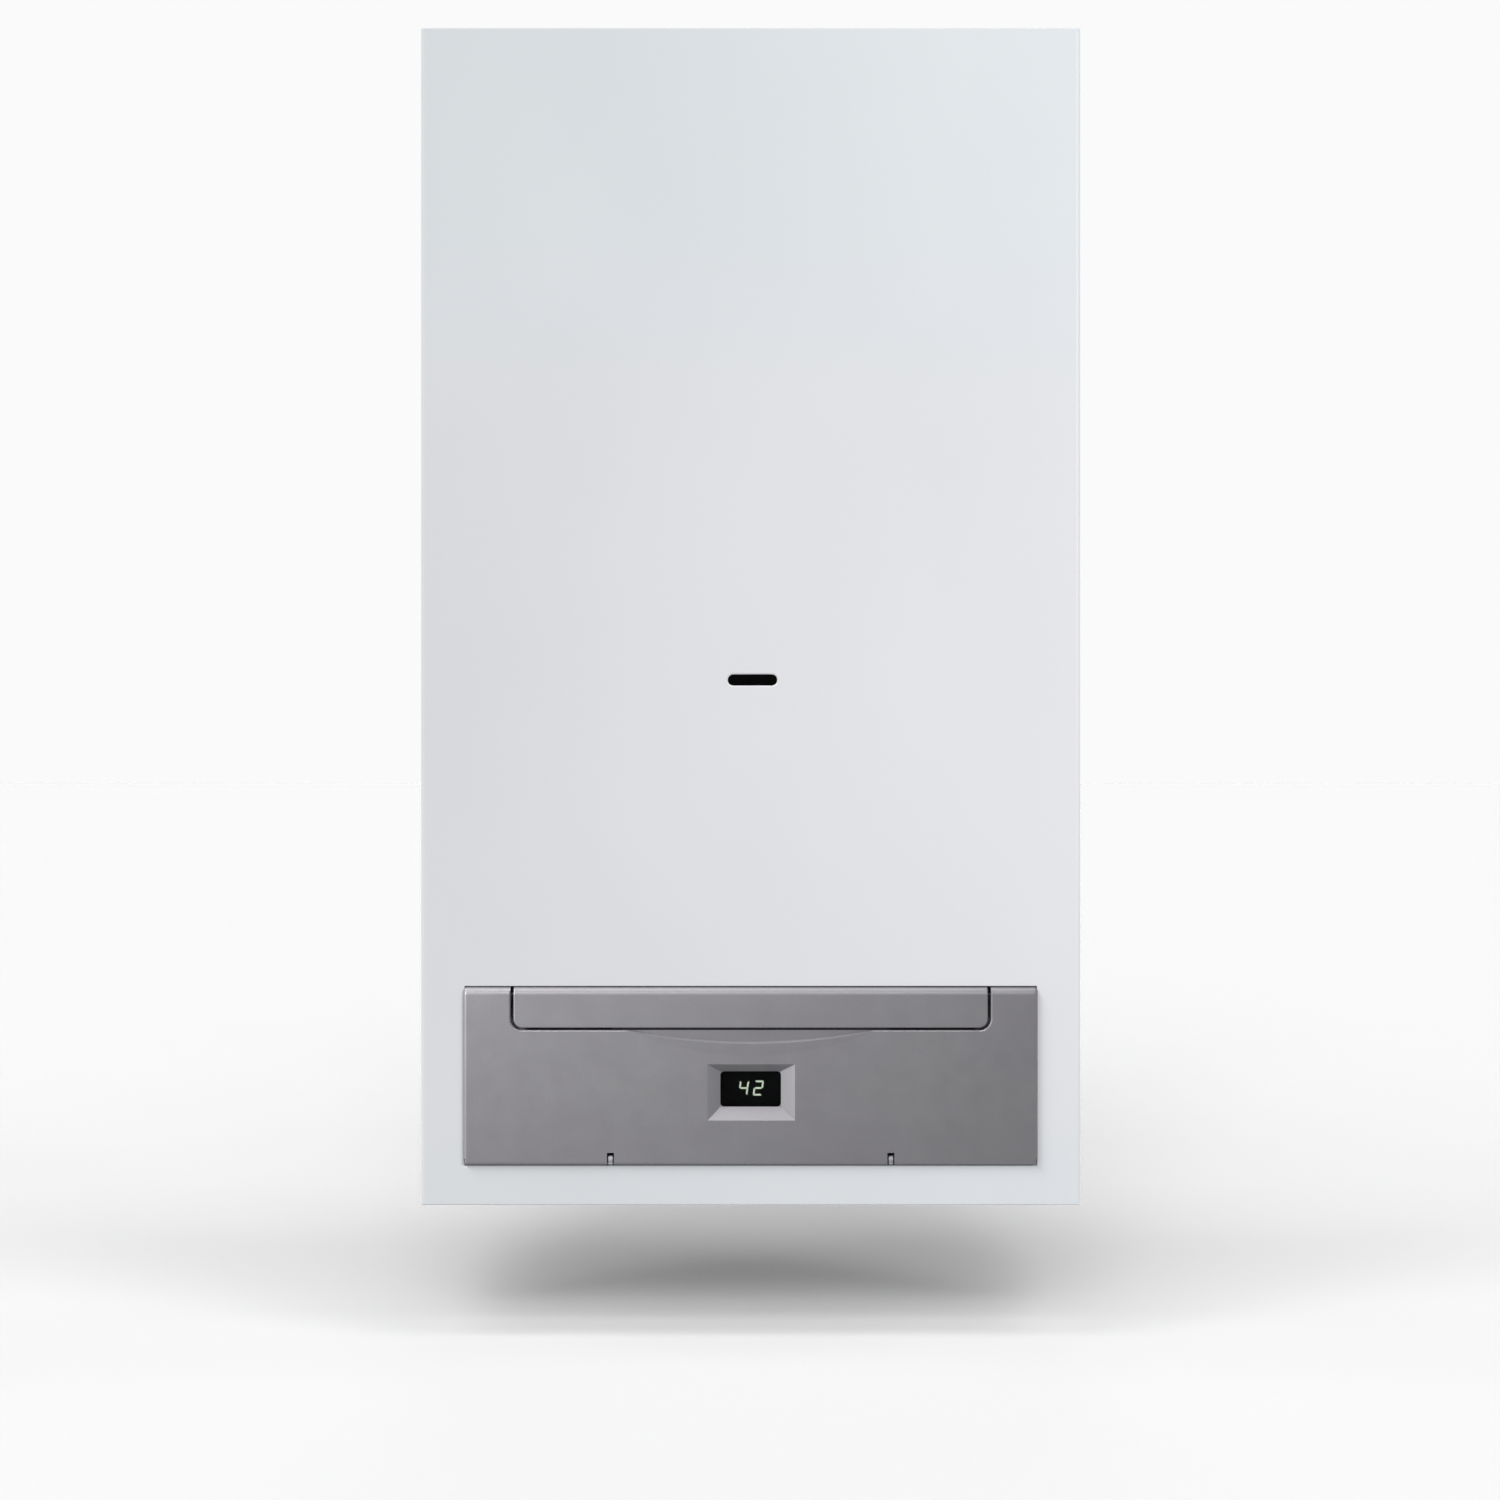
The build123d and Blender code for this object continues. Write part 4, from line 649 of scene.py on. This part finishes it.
def sun(name, towards, strength, spread, group, color=(1, 1, 1)):
    """A distant soft light that shines along towards."""
    data = bpy.data.lights.new(name, "SUN")
    data.energy = strength
    data.angle = math.radians(spread)
    data.color = color
    o = bpy.data.objects.new(name, data)
    o.rotation_euler = Vector(towards).to_track_quat("-Z", "Y").to_euler()
    bpy.context.scene.collection.objects.link(o)
    o.light_linking.receiver_collection = group
    return o


def panel_light(name, place, target, size, power, group, color=(1, 1, 1)):
    data = bpy.data.lights.new(name, "AREA")
    data.shape = "RECTANGLE"
    data.size, data.size_y = size
    data.energy = power
    data.color = color
    o = bpy.data.objects.new(name, data)
    o.location = place
    o.rotation_euler = (Vector(target) - Vector(place)).to_track_quat("-Z", "Y").to_euler()
    o.visible_camera = False
    bpy.context.scene.collection.objects.link(o)
    o.light_linking.receiver_collection = group
    return o


for n, height, turns, strength, spread in (
    ("floor_high", 46, (25, -25), 2.56, 26),
    ("floor_low", 16, (-1.2,), 13.3, 26),
    ("floor_lowest", 12, (-1.2,), 14.8, 14),
    ("floor_side", 18, (25, -25), 2.83, 22),
    ("floor_wide", 16, (50, -50), 1.00, 16),
    ("floor_cross", 34, (110, -110), 0.60, 18),
    ("floor_behind", 20, (180,), 1.22, 14),
):
    up = math.radians(height)
    for turn in turns:
        a = math.radians(turn)
        towards = (-math.sin(a) * math.cos(up), math.cos(a) * math.cos(up), -math.sin(up))
        sun(n + ("_left" if turn < -10 else ""), towards, strength, spread, on_floor)

sun("casing_key", (0.62, 0.30, -0.72), 2.0, 24, on_casing)
panel_light("casing_softbox", (1.30, -1.90, 0.05), (0.10, -0.30, -0.30), (0.8, 0.8), 21.0, on_casing)
sun("door_key", (0.28, 0.20, -0.94), 1.6, 20, on_door)
panel_light("door_softbox", (-0.50, -0.68, -0.34), (0, -0.30, -0.56), (0.25, 0.25), 3.1, on_door)
panel_light("door_strip_light", (-0.02, -0.50, -0.42), (0, -0.30, -0.60), (0.44, 0.05), 0.26, on_door)

# ------------------------------------------------------------------ camera

cam_data = bpy.data.cameras.new("camera")
cam_data.sensor_width = 36.0
cam_data.lens = 36.0 * 3.5 / 0.9098
cam_data.dof.use_dof = False
cam = bpy.data.objects.new("camera", cam_data)
cam.location = (-0.0004, -3.8, -0.388)
cam.rotation_euler = (math.pi / 2, 0, 0)
bpy.context.scene.collection.objects.link(cam)
bpy.context.scene.camera = cam

bpy.context.scene.view_settings.view_transform = "Standard"
bpy.context.scene.view_settings.look = "None"
bpy.context.scene.view_settings.exposure = 0.0
bpy.context.scene.view_settings.gamma = 1.0
